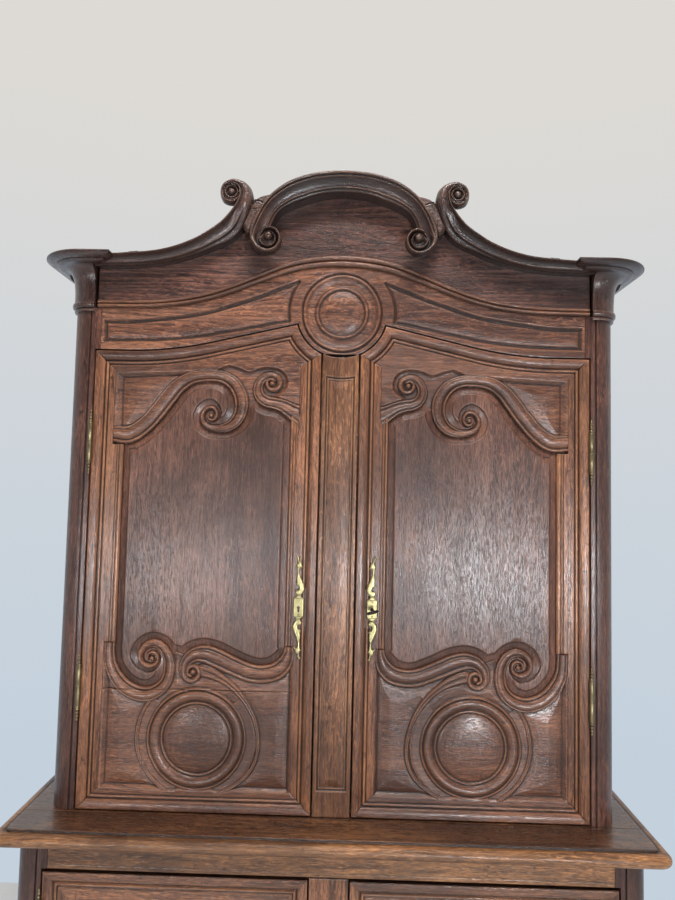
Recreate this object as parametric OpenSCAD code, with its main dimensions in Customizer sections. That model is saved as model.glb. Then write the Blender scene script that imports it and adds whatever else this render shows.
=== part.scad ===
// Two-part buffet: a cupboard with two carved doors that stands on a
// lower cupboard with two doors and a moulded table board.
// Millimetres. Floor at z = 0, +Z up, the doors face -Y, x = 0 is the middle.

/* [Table board] */
// Height of the table surface above the floor
table_h = 920; // [880:5:960]
// Overall width of the table board
table_w = 1450; // [1448:1:1456]
// Overall depth of the table board
table_d = 560; // [560:1:566]
// Thickness of the table board
table_t = 34; // [28:1:40]

/* [Lower cupboard] */
// Height of the foot below the apron
foot_h = 96; // [70:1:110]
// Height of the apron above the feet
apron_h = 90; // [80:1:110]
// Height of the frieze rail under the table board
frieze_h = 73; // [60:1:80]

/* [Upper cupboard] */
// Height of the corner posts up to the capitals
post_h = 1169; // [1165:1:1172]
// Heights of the three shelves above the table
shelf_heights = [330, 640, 900]; // [330, 640, 900]

/* [Doors] */
// Thickness of the door frames
door_t = 27; // [26:0.5:30]
// Free gap between a door and the post at its lock side
door_gap = 3.5; // [2.5:0.5:4]
// Thickness of the door panels
panel_t = 12; // [9:1:13]

/* [Hinges and locks] */
// Radius of the hinge barrel
barrel_r = 7; // [6.5:0.1:7.2]
// Radius of the hinge pin
pin_r = 3; // [2.5:0.1:3.5]
// Free play between pin and sleeve, on the radius
pin_play = 0.05; // [0.03:0.01:0.1]
// Length of one hinge knuckle
knuckle_l = 46; // [40:1:50]
// Travel of a lock bolt
bolt_throw = 12; // [10:0.5:12]

/* [Hidden] */
$fn = 48;
oak = [0.36, 0.20, 0.12];
dark_oak = [0.25, 0.14, 0.10];
light_oak = [0.46, 0.27, 0.15];
brass = [0.78, 0.62, 0.30];
iron = [0.16, 0.14, 0.13];

T = table_h;                 // table surface
TU = table_h - table_t;      // underside of the table board
yU = -168;                   // front of the upper cupboard
yL = -215;                   // front of the lower cupboard
yR = 270;                    // back of both cupboards
hx = 656;                    // half width of the upper cupboard
bx = 703;                    // half width of the lower cupboard
ux = 594.5;                  // inner face of an upper corner post
lx = 641.5;                  // inner face of a lower corner post
cx = 43.5;                   // half width of the centre posts
dx = cx + door_gap;          // lock side edge of a door
hg = 3;                      // gap at the hinge side
az = 1177;                   // medallion centre above the table
boss_r = 108;                // medallion boss
dz0 = foot_h + apron_h + 4;  // underside of the lower doors
dz1 = TU - frieze_h - 3;     // top of the lower doors
key_x = 86;                  // keyhole
key_z = T + 475;             // keyhole height, upper doors
lkey_z = 520;                // keyhole height, lower doors
hinge_up = [T + 280, T + 853];
hinge_lo = [dz0 + 110, dz1 - 110];

// ---------- small helpers ----------
module box(x0, x1, y0, y1, z0, z1) { translate([x0, y0, z0]) cube([x1 - x0, y1 - y0, z1 - z0]); }
module front(y0, y1) { translate([0, y1, 0]) rotate([90, 0, 0]) linear_extrude(y1 - y0) children(); }
module both() { children(); mirror([1, 0, 0]) children(); }
module ycyl(x, z, r, y0, y1) { translate([x, y1, z]) rotate([90, 0, 0]) cylinder(r = r, h = y1 - y0); }
// a smooth line through hand-set knots
function cr(a, b, c, d, t) = 0.5 * (2 * b + (c - a) * t + (2 * a - 5 * b + 4 * c - d) * t * t + (3 * b - a - 3 * c + d) * t * t * t);
function smooth(p, n = 3) = concat([for (i = [0 : len(p) - 2]) for (k = [0 : n - 1])
  cr(p[max(0, i - 1)], p[i], p[i + 1], p[min(len(p) - 1, i + 2)], k / n)], [p[len(p) - 1]]);
function nrm(p, i) = let (d = p[min(len(p) - 1, i + 1)] - p[max(0, i - 1)], l = norm(d)) [-d[1] / l, d[0] / l];
function off(p, d) = [for (i = [0 : len(p) - 1]) p[i] + nrm(p, i) * d];
function rev(p) = [for (i = [len(p) - 1 : -1 : 0]) p[i]];
function mirx(p) = [for (q = p) [-q[0], q[1]]];
function ribbon(p, w) = concat([for (i = [0 : len(p) - 1]) p[i] + nrm(p, i) * w[i] / 2],
  [for (i = [len(p) - 1 : -1 : 0]) p[i] - nrm(p, i) * w[i] / 2]);
function up(p) = [for (q = p) [q[0], q[1] + T]];

// ---------- lines of the front, heights above the table ----------
// top edge of an upper door, level at the outside and rising to the medallion
function rise(x) = let (t = max(0, 510 - abs(x))) t < 200 ? t * t / 400 : t - 100;
function door_top(x) = 1075 + 0.235 * rise(x);
xs = [591.5, 550, 510, 470, 430, 390, 350, 310, 270, 230, 190, 150, 104];
bt_k = [[594.5, 1197], [550, 1197.5], [500, 1198], [450, 1200.5], [400, 1205.5], [350, 1214.5], [300, 1229], [250, 1248], [200, 1270], [160, 1288], [120, 1301], [80, 1310], [40, 1315], [0, 1317]];
bb_k = [[594.5, 1179], [550, 1179.5], [500, 1180], [450, 1182], [400, 1187], [350, 1195.5], [300, 1209], [250, 1227], [200, 1247], [160, 1262], [120, 1275], [80, 1283], [40, 1288], [0, 1289.5]];
function whole(k) = let (h = smooth(k, 2)) concat(h, rev([for (i = [0 : len(h) - 2]) [-h[i][0], h[i][1]]]));
bead_top = whole(bt_k);
bead_bot = whole(bb_k);

// ---------- plan of a rounded corner post, o is an offset outward ----------
module post_plan(x_in, x_out, y_f, y_b, r, o = 0) {
  translate([x_in, y_f + r]) square([x_out + o - x_in, y_b - y_f - r]);
  translate([x_in, y_f - o]) square([x_out - r - x_in, y_b - y_f + o]);
  intersection() { translate([x_out - r, y_f + r]) circle(r + o); translate([x_out - r, y_f - o]) square([r + o, r + o]); }
}

// ---------- lower cupboard ----------
module base_front_post_r() {
  difference() {
    union() {
      translate([0, 0, foot_h]) linear_extrude(TU - foot_h) post_plan(lx, bx, yL, yL + 60, 34);
      box(629, lx + 1, yL, yL + 28, TU - frieze_h, TU);
      // scrolled block foot, turned pad under it
      translate([672, yL + 31, 0]) cylinder(r1 = 26, r2 = 30, h = 18);
      translate([672, yL + 31, 18]) cylinder(r = 22, h = foot_h - 18);
      translate([672, yL + 31, 52]) cylinder(r1 = 22, r2 = 30, h = foot_h - 52);
    }
    // mortises: frieze rail, apron, side rails, groove of the side panel
    box(628, lx + 30, yL + 8, yL + 20, TU - frieze_h + 12, TU - 12);
    box(lx - 1, lx + 30, yL + 8, yL + 20, foot_h + 18, foot_h + apron_h - 12);
    box(680, 692, yL + 35, yL + 61, TU - 88, TU - 12);
    box(680, 692, yL + 35, yL + 61, foot_h + 12, foot_h + 72);
    box(680, 692, yL + 52, yL + 61, foot_h + 78, TU - 92);
    for (z = hinge_lo) box(lx - 1, lx + 2, yL - 1, yL + 26, z - knuckle_l + 2, z - 2);
  }
}
module base_front_posts() { color(oak) both() base_front_post_r(); }
module base_back_posts() {
  color(oak) both() difference() {
    box(648, bx, yR - 55, yR, 0, TU);
    box(680, 692, yR - 56, yR - 30, TU - 88, TU - 12);
    box(680, 692, yR - 56, yR - 30, foot_h + 12, foot_h + 72);
    box(680, 692, yR - 56, yR - 48, foot_h + 78, TU - 92);
    box(647, 660, yR - 14, yR - 2, foot_h + 10, TU + 1);
  }
}
module base_centre_post() {
  color(oak) difference() {
    union() {
      box(-cx, cx, yL, yL + 28, foot_h + apron_h, TU - frieze_h);
      box(-62, 62, yL + 28, yL + 48, foot_h + apron_h + 26, TU - frieze_h);
      box(-20, 20, yL + 8, yL + 20, foot_h + apron_h - 30, foot_h + apron_h);
      box(-20, 20, yL + 8, yL + 20, TU - frieze_h, TU - frieze_h + 30);
    }
    both() box(cx - 11, cx + 1, yL + 8.5, yL + 18.5, lkey_z + 9, lkey_z + 31);
  }
}
module base_frieze_rail() {
  color(oak) difference() {
    union() {
      box(-629, 629, yL, yL + 28, TU - frieze_h, TU);
      both() box(628.9, lx + 30, yL + 8, yL + 20, TU - frieze_h + 12, TU - 12);
    }
    box(-20, 20, yL + 8, yL + 20, TU - frieze_h - 1, TU - frieze_h + 30);
  }
}
apron_low = smooth([[lx, foot_h], [620, foot_h + 6], [580, foot_h + 24], [520, foot_h + 38], [430, foot_h + 44], [330, foot_h + 40], [240, foot_h + 26], [160, foot_h + 8], [90, foot_h + 2], [40, foot_h + 10], [0, foot_h + 16]], 2);
module base_apron() {
  color(oak) difference() {
    union() {
      front(yL, yL + 28) polygon(concat(apron_low, rev([for (i = [0 : len(apron_low) - 2]) [-apron_low[i][0], apron_low[i][1]]]), [[-lx, foot_h + apron_h], [lx, foot_h + apron_h]]));
      both() box(lx, lx + 30, yL + 8, yL + 20, foot_h + 18, foot_h + apron_h - 12);
    }
    box(-20, 20, yL + 8, yL + 20, foot_h + apron_h - 30, foot_h + apron_h + 1);
  }
}
module base_side_rails() {
  color(oak) both() {
    difference() {
      union() { box(673, 699, yL + 60, yR - 55, TU - 100, TU); box(680, 692, yL + 35, yR - 30, TU - 88, TU - 12); }
      box(680, 692, yL + 60, yR - 55, TU - 101, TU - 92);
    }
    difference() {
      union() { box(673, 699, yL + 60, yR - 55, foot_h, foot_h + 86); box(680, 692, yL + 35, yR - 30, foot_h + 12, foot_h + 72); }
      box(680, 692, yL + 60, yR - 55, foot_h + 78, foot_h + 87);
    }
  }
}
module base_side_panels() { color(light_oak) both() box(680.5, 691.5, yL + 53, yR - 48, foot_h + 79, TU - 93); }
module base_back() {
  color(dark_oak) {
    w = 1316 / 6;
    for (i = [0 : 5]) box(-658 + i * w + 0.5, -658 + (i + 1) * w - 0.5, yR - 13.9, yR - 3, foot_h + 12, TU - 1);
    box(-647, 647, yR - 37, yR - 14, TU - 80, TU);
    box(-647, 647, yR - 37, yR - 14, foot_h + 60, foot_h + 86);
  }
}
module base_floor_board() {
  color(oak) difference() {
    box(-672, 672, yL + 29, yR - 38, foot_h + 86, foot_h + 108);
    both() box(lx - 0.5, 673, yL + 28, yL + 60.5, foot_h, foot_h + 200);
    both() box(647.5, 673, yR - 55.5, yR, foot_h, foot_h + 200);
    box(-62.5, 62.5, yL + 27, yL + 48.5, foot_h, foot_h + 200);
  }
}
module table_plan(o) {
  w = table_w / 2 - o; d = table_d / 2; r = 24 - o * 0.6;
  difference() {
    translate([-w, -d + o]) square([2 * w, 2 * d - o]);
    both() translate([w - r, -d + o - 1]) square([r + 1, r + 1]);
  }
  both() translate([w - r, -d + o + r]) circle(r);
}
module table_top() {
  color(light_oak) {
    translate([0, 0, TU]) linear_extrude(8) table_plan(8);
    translate([0, 0, TU + 8]) linear_extrude(table_t - 14) table_plan(0);
    translate([0, 0, T - 6]) linear_extrude(6) table_plan(20);
  }
}

// ---------- upper cupboard ----------
module upper_front_posts() {
  color(oak) both() difference() {
    union() {
      translate([0, 0, T]) linear_extrude(post_h) post_plan(ux, hx, yU, yU + 50, 45);
      box(ux + 6, 632, yU + 13, yU + 44, T + post_h, T + 1262);
      // strip that reaches over the top of the door
      box(582, ux + 1, yU, yU + 30, T + 1078.2, T + post_h);
      box(582, ux - 0.1, yU, yU + 30, T + post_h - 1, T + 1178.9);
    }
    box(581, ux + 25, yU + 8, yU + 20, T + 1100, T + 1155);
    for (z = [T + 12, T + 530, T + 1102]) box(619, 631, yU + 30, yU + 51, z, z + (z > T + 600 ? 55 : 60));
    box(619, 631, yU + 42, yU + 51, T + 92, T + 522);
    box(619, 631, yU + 42, yU + 51, T + 602, T + 1094);
    for (z = hinge_up) box(ux - 1, ux + 2, yU - 1, yU + 26, z - knuckle_l + 2, z - 2);
  }
}
module upper_back_posts() {
  color(oak) both() difference() {
    box(596, hx, yR - 45, yR, T, T + 1262);
    for (z = [T + 12, T + 530, T + 1102]) box(619, 631, yR - 46, yR - 25, z, z + (z > T + 600 ? 55 : 60));
    box(619, 631, yR - 46, yR - 37, T + 92, T + 522);
    box(619, 631, yR - 46, yR - 37, T + 602, T + 1094);
    box(595, 608, yR - 14, yR - 2, T - 1, T + 1263);
  }
}
module upper_centre_post() {
  color(oak) difference() {
    union() {
      box(-cx, cx, yU, yU + 28, T, T + 1100);
      box(-62, 62, yU + 28, yU + 50, T + 22, T + 1060);
    }
    ycyl(0, T + az, boss_r, yU - 1, yU + 29);
    both() box(cx - 11, cx + 1, yU + 8.5, yU + 18.5, key_z + 9, key_z + 31);
  }
}
module upper_traverse() {
  low = up([for (x = xs) [x, door_top(x) + 3]]);
  color(oak) {
    difference() {
      front(yU, yU + 30) polygon(concat([[ux, low[0][1]]], low, [[100, T + 1152], [-100, T + 1152]], rev(mirx(low)), [[-ux, low[0][1]]], up(rev(bead_bot))));
      both() box(582, 700, yU - 1, yU + 31, T + 1070, T + 1179.4);
    }
    ycyl(0, T + az, boss_r, yU, yU + 30);
    both() box(581.9, ux + 25, yU + 8, yU + 20, T + 1100, T + 1155);
  }
}
module side_rail(z0, z1, t0, t1, lo, hi) {
  difference() {
    union() { box(612, hx - 4, yU + 50, yR - 45, z0, z1); box(619, 631, yU + 30, yR - 25, t0, t1); }
    if (lo) box(619, 631, yU + 50, yR - 45, z0 - 1, z0 + 8);
    if (hi) box(619, 631, yU + 50, yR - 45, z1 - 8, z1 + 1);
  }
}
module upper_side_rails() {
  color(oak) both() {
    side_rail(T, T + 100, T + 12, T + 72, false, true);
    side_rail(T + 514, T + 610, T + 530, T + 590, true, true);
    side_rail(T + 1086, T + 1262, T + 1102, T + 1157, true, false);
  }
}
module upper_side_panels() {
  color(light_oak) both() {
    box(619.5, 630.5, yU + 43, yR - 38, T + 93, T + 521);
    box(619.5, 630.5, yU + 43, yR - 38, T + 603, T + 1093);
  }
}
module upper_back() {
  color(dark_oak) {
    w = 1212 / 6;
    for (i = [0 : 5]) box(-606 + i * w + 0.5, -606 + (i + 1) * w - 0.5, yR - 13.9, yR - 3, T + 4, T + 1261);
    box(-595, 595, yR - 36, yR - 14, T + 22, T + 90);
    box(-595, 595, yR - 36, yR - 14, T + 1180, T + 1262);
  }
}
module upper_floor_board() {
  color(oak) difference() {
    box(-611, 611, yU + 28, yR - 37, T, T + 22);
    both() box(ux - 0.5, 612, yU + 27, yU + 50.5, T - 1, T + 30);
    both() box(595.5, 612, yR - 45.5, yR, T - 1, T + 30);
  }
}
module upper_top_board() {
  color(dark_oak) difference() {
    box(-611, 611, yU + 45, yR - 3, T + 1262, T + 1280);
    both() box(540.8, 612, yU + 44, yU + 68.2, T + 1261, T + 1281);
  }
}
module shelves() {
  color(light_oak) {
    for (z = shelf_heights) box(-611, 611, yU + 51, yR - 46, T + z, T + z + 20);
    box(-672, 672, yL + 61, yR - 56, 500, 522);
  }
}
module shelf_cleats() {
  color(oak) both() {
    for (z = shelf_heights) box(597, 612, yU + 50, yR - 45, T + z - 28, T + z);
    box(653, 673, yL + 60, yR - 55, 470, 500);
  }
}
// board that fills the space between the bead and the cornice
fb_top = smooth([[ux, 1288], [541, 1288], [500, 1288], [460, 1290], [420, 1296], [380, 1306], [340, 1320], [310, 1335], [285, 1350], [262, 1366], [243, 1388], [225, 1410], [205, 1425], [190, 1436], [172, 1444], [140, 1456], [100, 1472], [50, 1484], [0, 1488]], 2);
module frieze_board() {
  color(oak) difference() {
    front(yU + 5, yU + 28) polygon(up(concat(bead_top, rev(concat(fb_top, rev([for (i = [0 : len(fb_top) - 2]) [-fb_top[i][0], fb_top[i][1]]]))))));
    both() box(540.8, 600, yU, yU + 40, T + 1277, T + 1300);
  }
}
module curved_bead() {
  color(oak) intersection() {
    front(yU - 6, yU + 20) polygon(up(concat(bead_top, rev(bead_bot))));
    box(-590, 590, yU - 7, yU + 21, T, T + 1400);
  }
}
// the swept cornice: top line, then steps back towards the board
sw_top = smooth([[541, 1294], [500, 1297], [460, 1301], [420, 1307], [380, 1320], [340, 1338], [310, 1358], [287, 1377], [270, 1398], [262, 1414]], 3);
sw_low = smooth([[541, 1270], [500, 1271], [460, 1274], [420, 1281], [380, 1292], [340, 1306], [310, 1320], [280, 1335], [252, 1352], [234, 1370], [222, 1392], [214, 1412], [208, 1432], [215, 1453], [236, 1468], [262, 1474]], 2);
module sweep_r() {
  front(yU - 26, yU + 5) polygon(up(concat(sw_top, rev(sw_low))));
  front(yU - 44, yU - 26) polygon(up(concat(sw_top, rev(off(sw_top, 22)))));
  front(yU - 56, yU - 44) polygon(up(concat(sw_top, rev(off(sw_top, 12)))));
  ycyl(262, T + 1443, 30, yU - 56, yU - 28);
}
module cornice_sweep_left() { color(dark_oak) mirror([1, 0, 0]) sweep_r(); }
module cornice_sweep_right() { color(dark_oak) sweep_r(); }
function ring_pt(r, x) = [x, 1227 + sqrt(r * r - x * x)];
ar_out = smooth([[208, 1335], [211, 1360], [207, 1385], [196, 1409], ring_pt(269, 172), ring_pt(269, 140), ring_pt(269, 100), ring_pt(269, 50), [0, 1496]], 3);
function half_arch(d) = concat([[172, 1350]], [for (i = [2 : len(ar_out) - 1]) ar_out[i] + nrm(ar_out, i) * d * (i == len(ar_out) - 1 ? 1 : 1)]);
function arch_band(d) = let (o = ar_out, n = off(ar_out, d)) concat(o, rev([for (i = [0 : len(o) - 2]) [-o[i][0], o[i][1]]]), [for (i = [0 : len(n) - 2]) [-n[i][0], n[i][1]]], [[0, 1496 - abs(d)]], rev([for (i = [0 : len(n) - 2]) n[i]]));
module cornice_arch() {
  color(dark_oak) {
    front(yU - 40, yU + 5) polygon(up(arch_band(47)));
    front(yU - 58, yU - 40) polygon(up(arch_band(28)));
    front(yU - 70, yU - 58) polygon(up(arch_band(13)));
    both() ycyl(176, T + 1333, 34, yU - 70, yU + 5);
  }
}
module block_plan(o, i) {
  r = 114 - o;
  translate([541 + i, yU - 75 + o]) square([611 - 541 - i, 143 - o]);
  translate([541 + i, yU + 39]) square([725 - o - 541 - i, 29]);
  intersection() { translate([611, yU + 39]) circle(r); translate([611, yU - 100]) square([200, 139]); }
}
module cornice_corner_blocks() {
  color(dark_oak) both() {
    translate([0, 0, T + 1277]) linear_extrude(6) block_plan(24, 12);
    translate([0, 0, T + 1283]) linear_extrude(8) block_plan(9, 5);
    translate([0, 0, T + 1291]) linear_extrude(8) block_plan(0, 0);
  }
}
module corner_capitals() {
  color(dark_oak) both() difference() {
    union() {
      translate([0, 0, T + post_h]) linear_extrude(24) post_plan(ux - 4, hx, yU, yU + 50, 45, 11);
      translate([0, 0, T + post_h + 24]) linear_extrude(56) post_plan(ux - 4, hx, yU, yU + 50, 45, 8);
      translate([0, 0, T + post_h + 80]) linear_extrude(1277 - post_h - 80) post_plan(ux - 4, hx, yU, yU + 50, 45, 16);
    }
    box(ux + 6, 632, yU + 13, yU + 44, T + post_h - 1, T + 1263);
    box(ux - 30, ux, yU, yU + 60, T + post_h - 1, T + 1278);
    box(ux - 30, hx + 20, yU + 50, yU + 70, T + post_h - 1, T + 1278);
  }
}
module side_cornices() {
  color(dark_oak) both() front(yU + 68, yR - 2)
    polygon(up([[612, 1262.2], [hx + 0.2, 1262.2], [hx + 0.2, 1236], [661, 1236], [669, 1246], [681, 1256], [696, 1264], [701, 1277], [701, 1283], [716, 1283], [716, 1291], [725, 1291], [725, 1299], [612, 1299]]));
}

// ---------- doors ----------
dl = ux - hg;    // hinge side edge of an upper door
module door_field() {
  difference() {
    polygon(up(concat([for (x = xs) [min(x, dl), door_top(x)]], [[dx, door_top(104)], [dx, 2], [dl, 2]])));
    translate([0, T + az]) circle(boss_r + 3);
  }
}
module stiles_r() {
  difference() {
    union() {
      intersection() {
        front(yU, yU + door_t) door_field();
        union() {
          box(543, 600, yU - 1, yU + 30, T, T + 1200);
          box(dx - 1, 97, yU - 1, yU + 30, T, T + 1200);
        }
      }
      box(517, 543, yU, yU + door_t, T + 382, T + 849);
      box(97, 118, yU, yU + door_t, T + 382, T + 880);
    }
    panel_space();
    rail_tenons_r(0);
    lock_space(key_z);
    for (z = hinge_up) box(dl - 2, dl + 1, yU - 1, yU + 26, z + 2, z + knuckle_l - 2);
  }
}
module panel_space() { box(105, 535, yU + 9, yU + 9 + panel_t, T + 290, T + 1012); }
module rail_tenons_r(z) {
  box(dx + 13, 97, yU + 9, yU + 18, T + 1022, T + 1056);
  box(543, 578, yU + 9, yU + 18, T + 1022, T + 1056);
  for (z = [T + 60, T + 190]) {
    box(543, 578, yU + 9, yU + 18, z, z + 70);
    box(dx + 13, 97, yU + 9, yU + 18, z, z + 70);
  }
}
tr_low = smooth([[543, 853], [517, 849], [490, 852], [468, 864], [448, 886], [425, 918], [402, 950], [380, 974], [362, 984], [348, 976], [343, 950], [343, 915], [330, 888], [308, 872], [280, 866], [255, 872], [230, 890], [212, 915], [195, 934], [165, 938], [140, 928], [118, 905], [97, 893]], 2);
module top_rail_r() {
  difference() {
    union() {
      intersection() {
        front(yU, yU + door_t) door_field();
        front(yU - 1, yU + 30) polygon(up(concat(tr_low, [[97, 1200], [543, 1200]])));
      }
      box(543, 578, yU + 9, yU + 18, T + 1022, T + 1056);
      box(dx + 13, 97, yU + 9, yU + 18, T + 1022, T + 1056);
    }
    panel_space();
    box(90, 118, yU - 1, yU + 30, T + 800, T + 880);
    box(516, 543, yU - 1, yU + 30, T + 800, T + 849);
    box(80, 97, yU - 1, yU + 9, T + 800, T + 1100);
  }
}
br_top = smooth([[543, 382], [517, 382], [513, 345], [502, 317], [486, 303], [470, 310], [463, 335], [461, 360], [448, 382], [427, 393], [403, 392], [383, 383], [370, 376], [353, 385], [333, 392], [307, 393], [283, 388], [260, 378], [233, 365], [207, 355], [177, 352], [153, 357], [138, 372], [130, 382], [97, 382]], 2);
module bottom_rail_r() {
  difference() {
    union() {
      front(yU, yU + door_t) polygon(up(concat(br_top, [[97, 2], [543, 2]])));
      for (z = [T + 60, T + 190]) {
        box(543, 578, yU + 9, yU + 18, z, z + 70);
        box(dx + 13, 97, yU + 9, yU + 18, z, z + 70);
      }
    }
    panel_space();
    box(516, 544, yU - 1, yU + 30, T + 382, T + 420);
    box(96, 118, yU - 1, yU + 30, T + 382, T + 420);
  }
}
module panel_r() { box(105.5, 534.5, yU + 9, yU + 9 + panel_t, T + 290.5, T + 1011.5); }

// hinge: sleeve with its leaf rides on the door, pin and lower knuckle on the post
module finial(up) {
  s = up ? 1 : -1;
  translate([0, 0, s * 4]) sphere(r = barrel_r - 1);
  translate([0, 0, up ? -1 : -1]) cylinder(r = barrel_r - 2.5, h = 2);
  translate([0, 0, s * 13]) sphere(r = 5);
  translate([0, 0, s * 22]) sphere(r = 4.4);
  translate([0, 0, s * 30.5]) sphere(r = 3.4);
  translate([0, 0, up ? 4 : -32]) cylinder(r = 2.4, h = 28);
}
// x: leaf side of the door, y: front plane of the cupboard, seen for the right door
module sleeve_r(xa, yf, z) {
  difference() {
    union() {
      translate([xa, yf - barrel_r - 0.5, z + 0.25]) cylinder(r = barrel_r, h = knuckle_l - 0.25);
      translate([xa, yf - barrel_r - 0.5, z + knuckle_l]) finial(true);
      box(xa - 3.5, xa - 1.5, yf - 4, yf + 26, z + 2, z + knuckle_l - 2);
    }
    translate([xa, yf - barrel_r - 0.5, z - 1]) cylinder(r = pin_r + pin_play, h = knuckle_l - 6);
  }
}
module pin_rt(xa, yf, z) {
  translate([xa, yf - barrel_r - 0.5, z - knuckle_l]) cylinder(r = barrel_r, h = knuckle_l);
  translate([xa, yf - barrel_r - 0.5, z - knuckle_l]) finial(false);
  translate([xa, yf - barrel_r - 0.5, z - 1]) cylinder(r = pin_r, h = knuckle_l - 8);
  box(xa + 1.5, xa + 3.5, yf - 4, yf + 26, z - knuckle_l + 2, z - 2);
}
module hinge_pins() {
  color(brass) both() {
    for (z = hinge_up) pin_rt(ux - 1.5, yU, z);
    for (z = hinge_lo) pin_rt(lx - 1.5, yL, z);
  }
}
// lock: flat iron case let into the stile, with a channel for its bolt
module lock_space(kz, y = yU) { box(dx - 1, 103, y + 6, y + 21, kz - 45, kz + 45); keyhole(kz, y - 1, y + 8); }
module keyhole(kz, y0, y1) { ycyl(key_x, kz, 3.6, y0, y1); box(key_x - 2, key_x + 2, y0, y1, kz - 10.5, kz); }
module lock_r(kz, y) {
  difference() {
    box(dx, 103, y + 6, y + 21, kz - 45, kz + 45);
    keyhole(kz, y + 5, y + 12);
    ycyl(key_x, kz, 10.3, y + 9, y + 18.5);
    box(dx - 1, 97, y + 9.3, y + 17.7, kz + 10.3, kz + 31);
  }
}
module bolt_r(kz, y) { box(dx + 1, 94, y + 9.5, y + 17.5, kz + 10.6, kz + 30); }
// fretted plate: a tall centre with the keyhole and a turned-over scroll at each end
scr = smooth([[0, 20], [3, 30], [8, 40], [7, 50], [0, 58], [-6, 66], [-8, 77], [-3, 87], [3, 94], [5, 103], [1, 112], [-3, 117]], 2);
function scr_w(i) = let (t = i / (len(scr) - 1)) 13 - 9 * t + 5 * sin(t * 540);
esc_w = [for (i = [0 : len(scr) - 1]) max(3.5, scr_w(i))];
esc_line = concat(rev([for (q = scr) -q]), [[0, -19], [0, -14], [0, 14], [0, 19]], scr);
esc_width = concat(rev(esc_w), [18, 24, 24, 18], esc_w);
module escutcheon_r(kz, y) {
  translate([key_x, 0, kz]) difference() {
    front(y - 3, y) polygon(ribbon(esc_line, esc_width));
    translate([-key_x, 0, -kz]) keyhole(kz, y - 4, y + 1);
  }
}
module key() {
  color(iron) translate([key_x, 0, key_z]) rotate([0, -15, 0]) {
    ycyl(0, 0, 3, yU - 30, yU + 18);
    ycyl(0, 0, 4.4, yU - 14, yU - 11);
    translate([0, yU - 41, 0]) difference() { cylinder(r = 14, h = 4.4, center = true); cylinder(r = 9.2, h = 6, center = true); }
    box(0, 9.5, yU + 10.5, yU + 17.5, -1.3, 1.3);
  }
}
module ldoor_frame_r() {
  x1 = lx - hg; x0 = dx;
  difference() {
    union() {
      box(x1 - 75, x1, yL, yL + door_t, dz0, dz1);
      box(x0, x0 + 75, yL, yL + door_t, dz0, dz1);
    }
    lp_space();
    for (z = [dz0 + 10, dz1 - 65]) { box(x1 - 110, x1 - 29.9, yL + 8.9, yL + 18.1, z - 0.1, z + 55.1); box(x0 + 12.9, x0 + 100, yL + 8.9, yL + 18.1, z - 0.1, z + 55.1); }
    lock_space(lkey_z, yL);
    for (z = hinge_lo) box(x1 - 2, x1 + 1, yL - 1, yL + 26, z + 2, z + knuckle_l - 2);
  }
  difference() {
    union() {
      front(yL, yL + door_t) polygon(concat([[x1 - 75.1, dz1], [x0 + 75.1, dz1]], smooth([[x0 + 75.1, dz1 - 96], [160, dz1 - 90], [210, dz1 - 72], [270, dz1 - 80], [340, dz1 - 66], [410, dz1 - 80], [470, dz1 - 72], [525, dz1 - 90], [x1 - 75.1, dz1 - 96]], 3)));
      box(x1 - 80, x1 - 30, yL + 9, yL + 18, dz1 - 65, dz1 - 10);
      box(x0 + 13, x0 + 80, yL + 9, yL + 18, dz1 - 65, dz1 - 10);
    }
    lp_space();
  }
  difference() {
    union() {
      box(x0 + 75.1, x1 - 75.1, yL, yL + door_t, dz0, dz0 + 78);
      box(x1 - 80, x1 - 30, yL + 9, yL + 18, dz0 + 10, dz0 + 65);
      box(x0 + 13, x0 + 80, yL + 9, yL + 18, dz0 + 10, dz0 + 65);
    }
    lp_space();
  }
}
module lp_space() { box(108, lx - hg - 60, yL + 9, yL + 9 + panel_t, dz0 + 68, dz1 - 67); }
module lpanel_r() { box(108.5, lx - hg - 60.5, yL + 9, yL + 9 + panel_t, dz0 + 68.5, dz1 - 67.5); }

module left_door_stiles() { color(light_oak) mirror([1, 0, 0]) stiles_r(); }
module left_door_top_rail() { color(oak) mirror([1, 0, 0]) top_rail_r(); }
module left_door_bottom_rail() { color(oak) mirror([1, 0, 0]) bottom_rail_r(); }
module left_door_panel() { color(oak) mirror([1, 0, 0]) panel_r(); }
module left_door_hinge_sleeves() { color(brass) mirror([1, 0, 0]) for (z = hinge_up) sleeve_r(ux - 1.5, yU, z); }
module left_door_lock() { color(iron) mirror([1, 0, 0]) lock_r(key_z, yU); }
module left_door_escutcheon() { color(brass) mirror([1, 0, 0]) escutcheon_r(key_z, yU); }
module left_door_bolt() { color(iron) mirror([1, 0, 0]) bolt_r(key_z, yU); }
module right_door_stiles() { color(light_oak) stiles_r(); }
module right_door_top_rail() { color(oak) top_rail_r(); }
module right_door_bottom_rail() { color(oak) bottom_rail_r(); }
module right_door_panel() { color(oak) panel_r(); }
module right_door_hinge_sleeves() { color(brass) for (z = hinge_up) sleeve_r(ux - 1.5, yU, z); }
module right_door_lock() { color(iron) lock_r(key_z, yU); }
module right_door_escutcheon() { color(brass) escutcheon_r(key_z, yU); }
module right_door_bolt() { color(iron) bolt_r(key_z, yU); }
module lower_left_door_frame() { color(light_oak) mirror([1, 0, 0]) ldoor_frame_r(); }
module lower_left_door_panel() { color(oak) mirror([1, 0, 0]) lpanel_r(); }
module lower_left_door_hinge_sleeves() { color(brass) mirror([1, 0, 0]) for (z = hinge_lo) sleeve_r(lx - 1.5, yL, z); }
module lower_left_door_lock() { color(iron) mirror([1, 0, 0]) lock_r(lkey_z, yL); }
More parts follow.
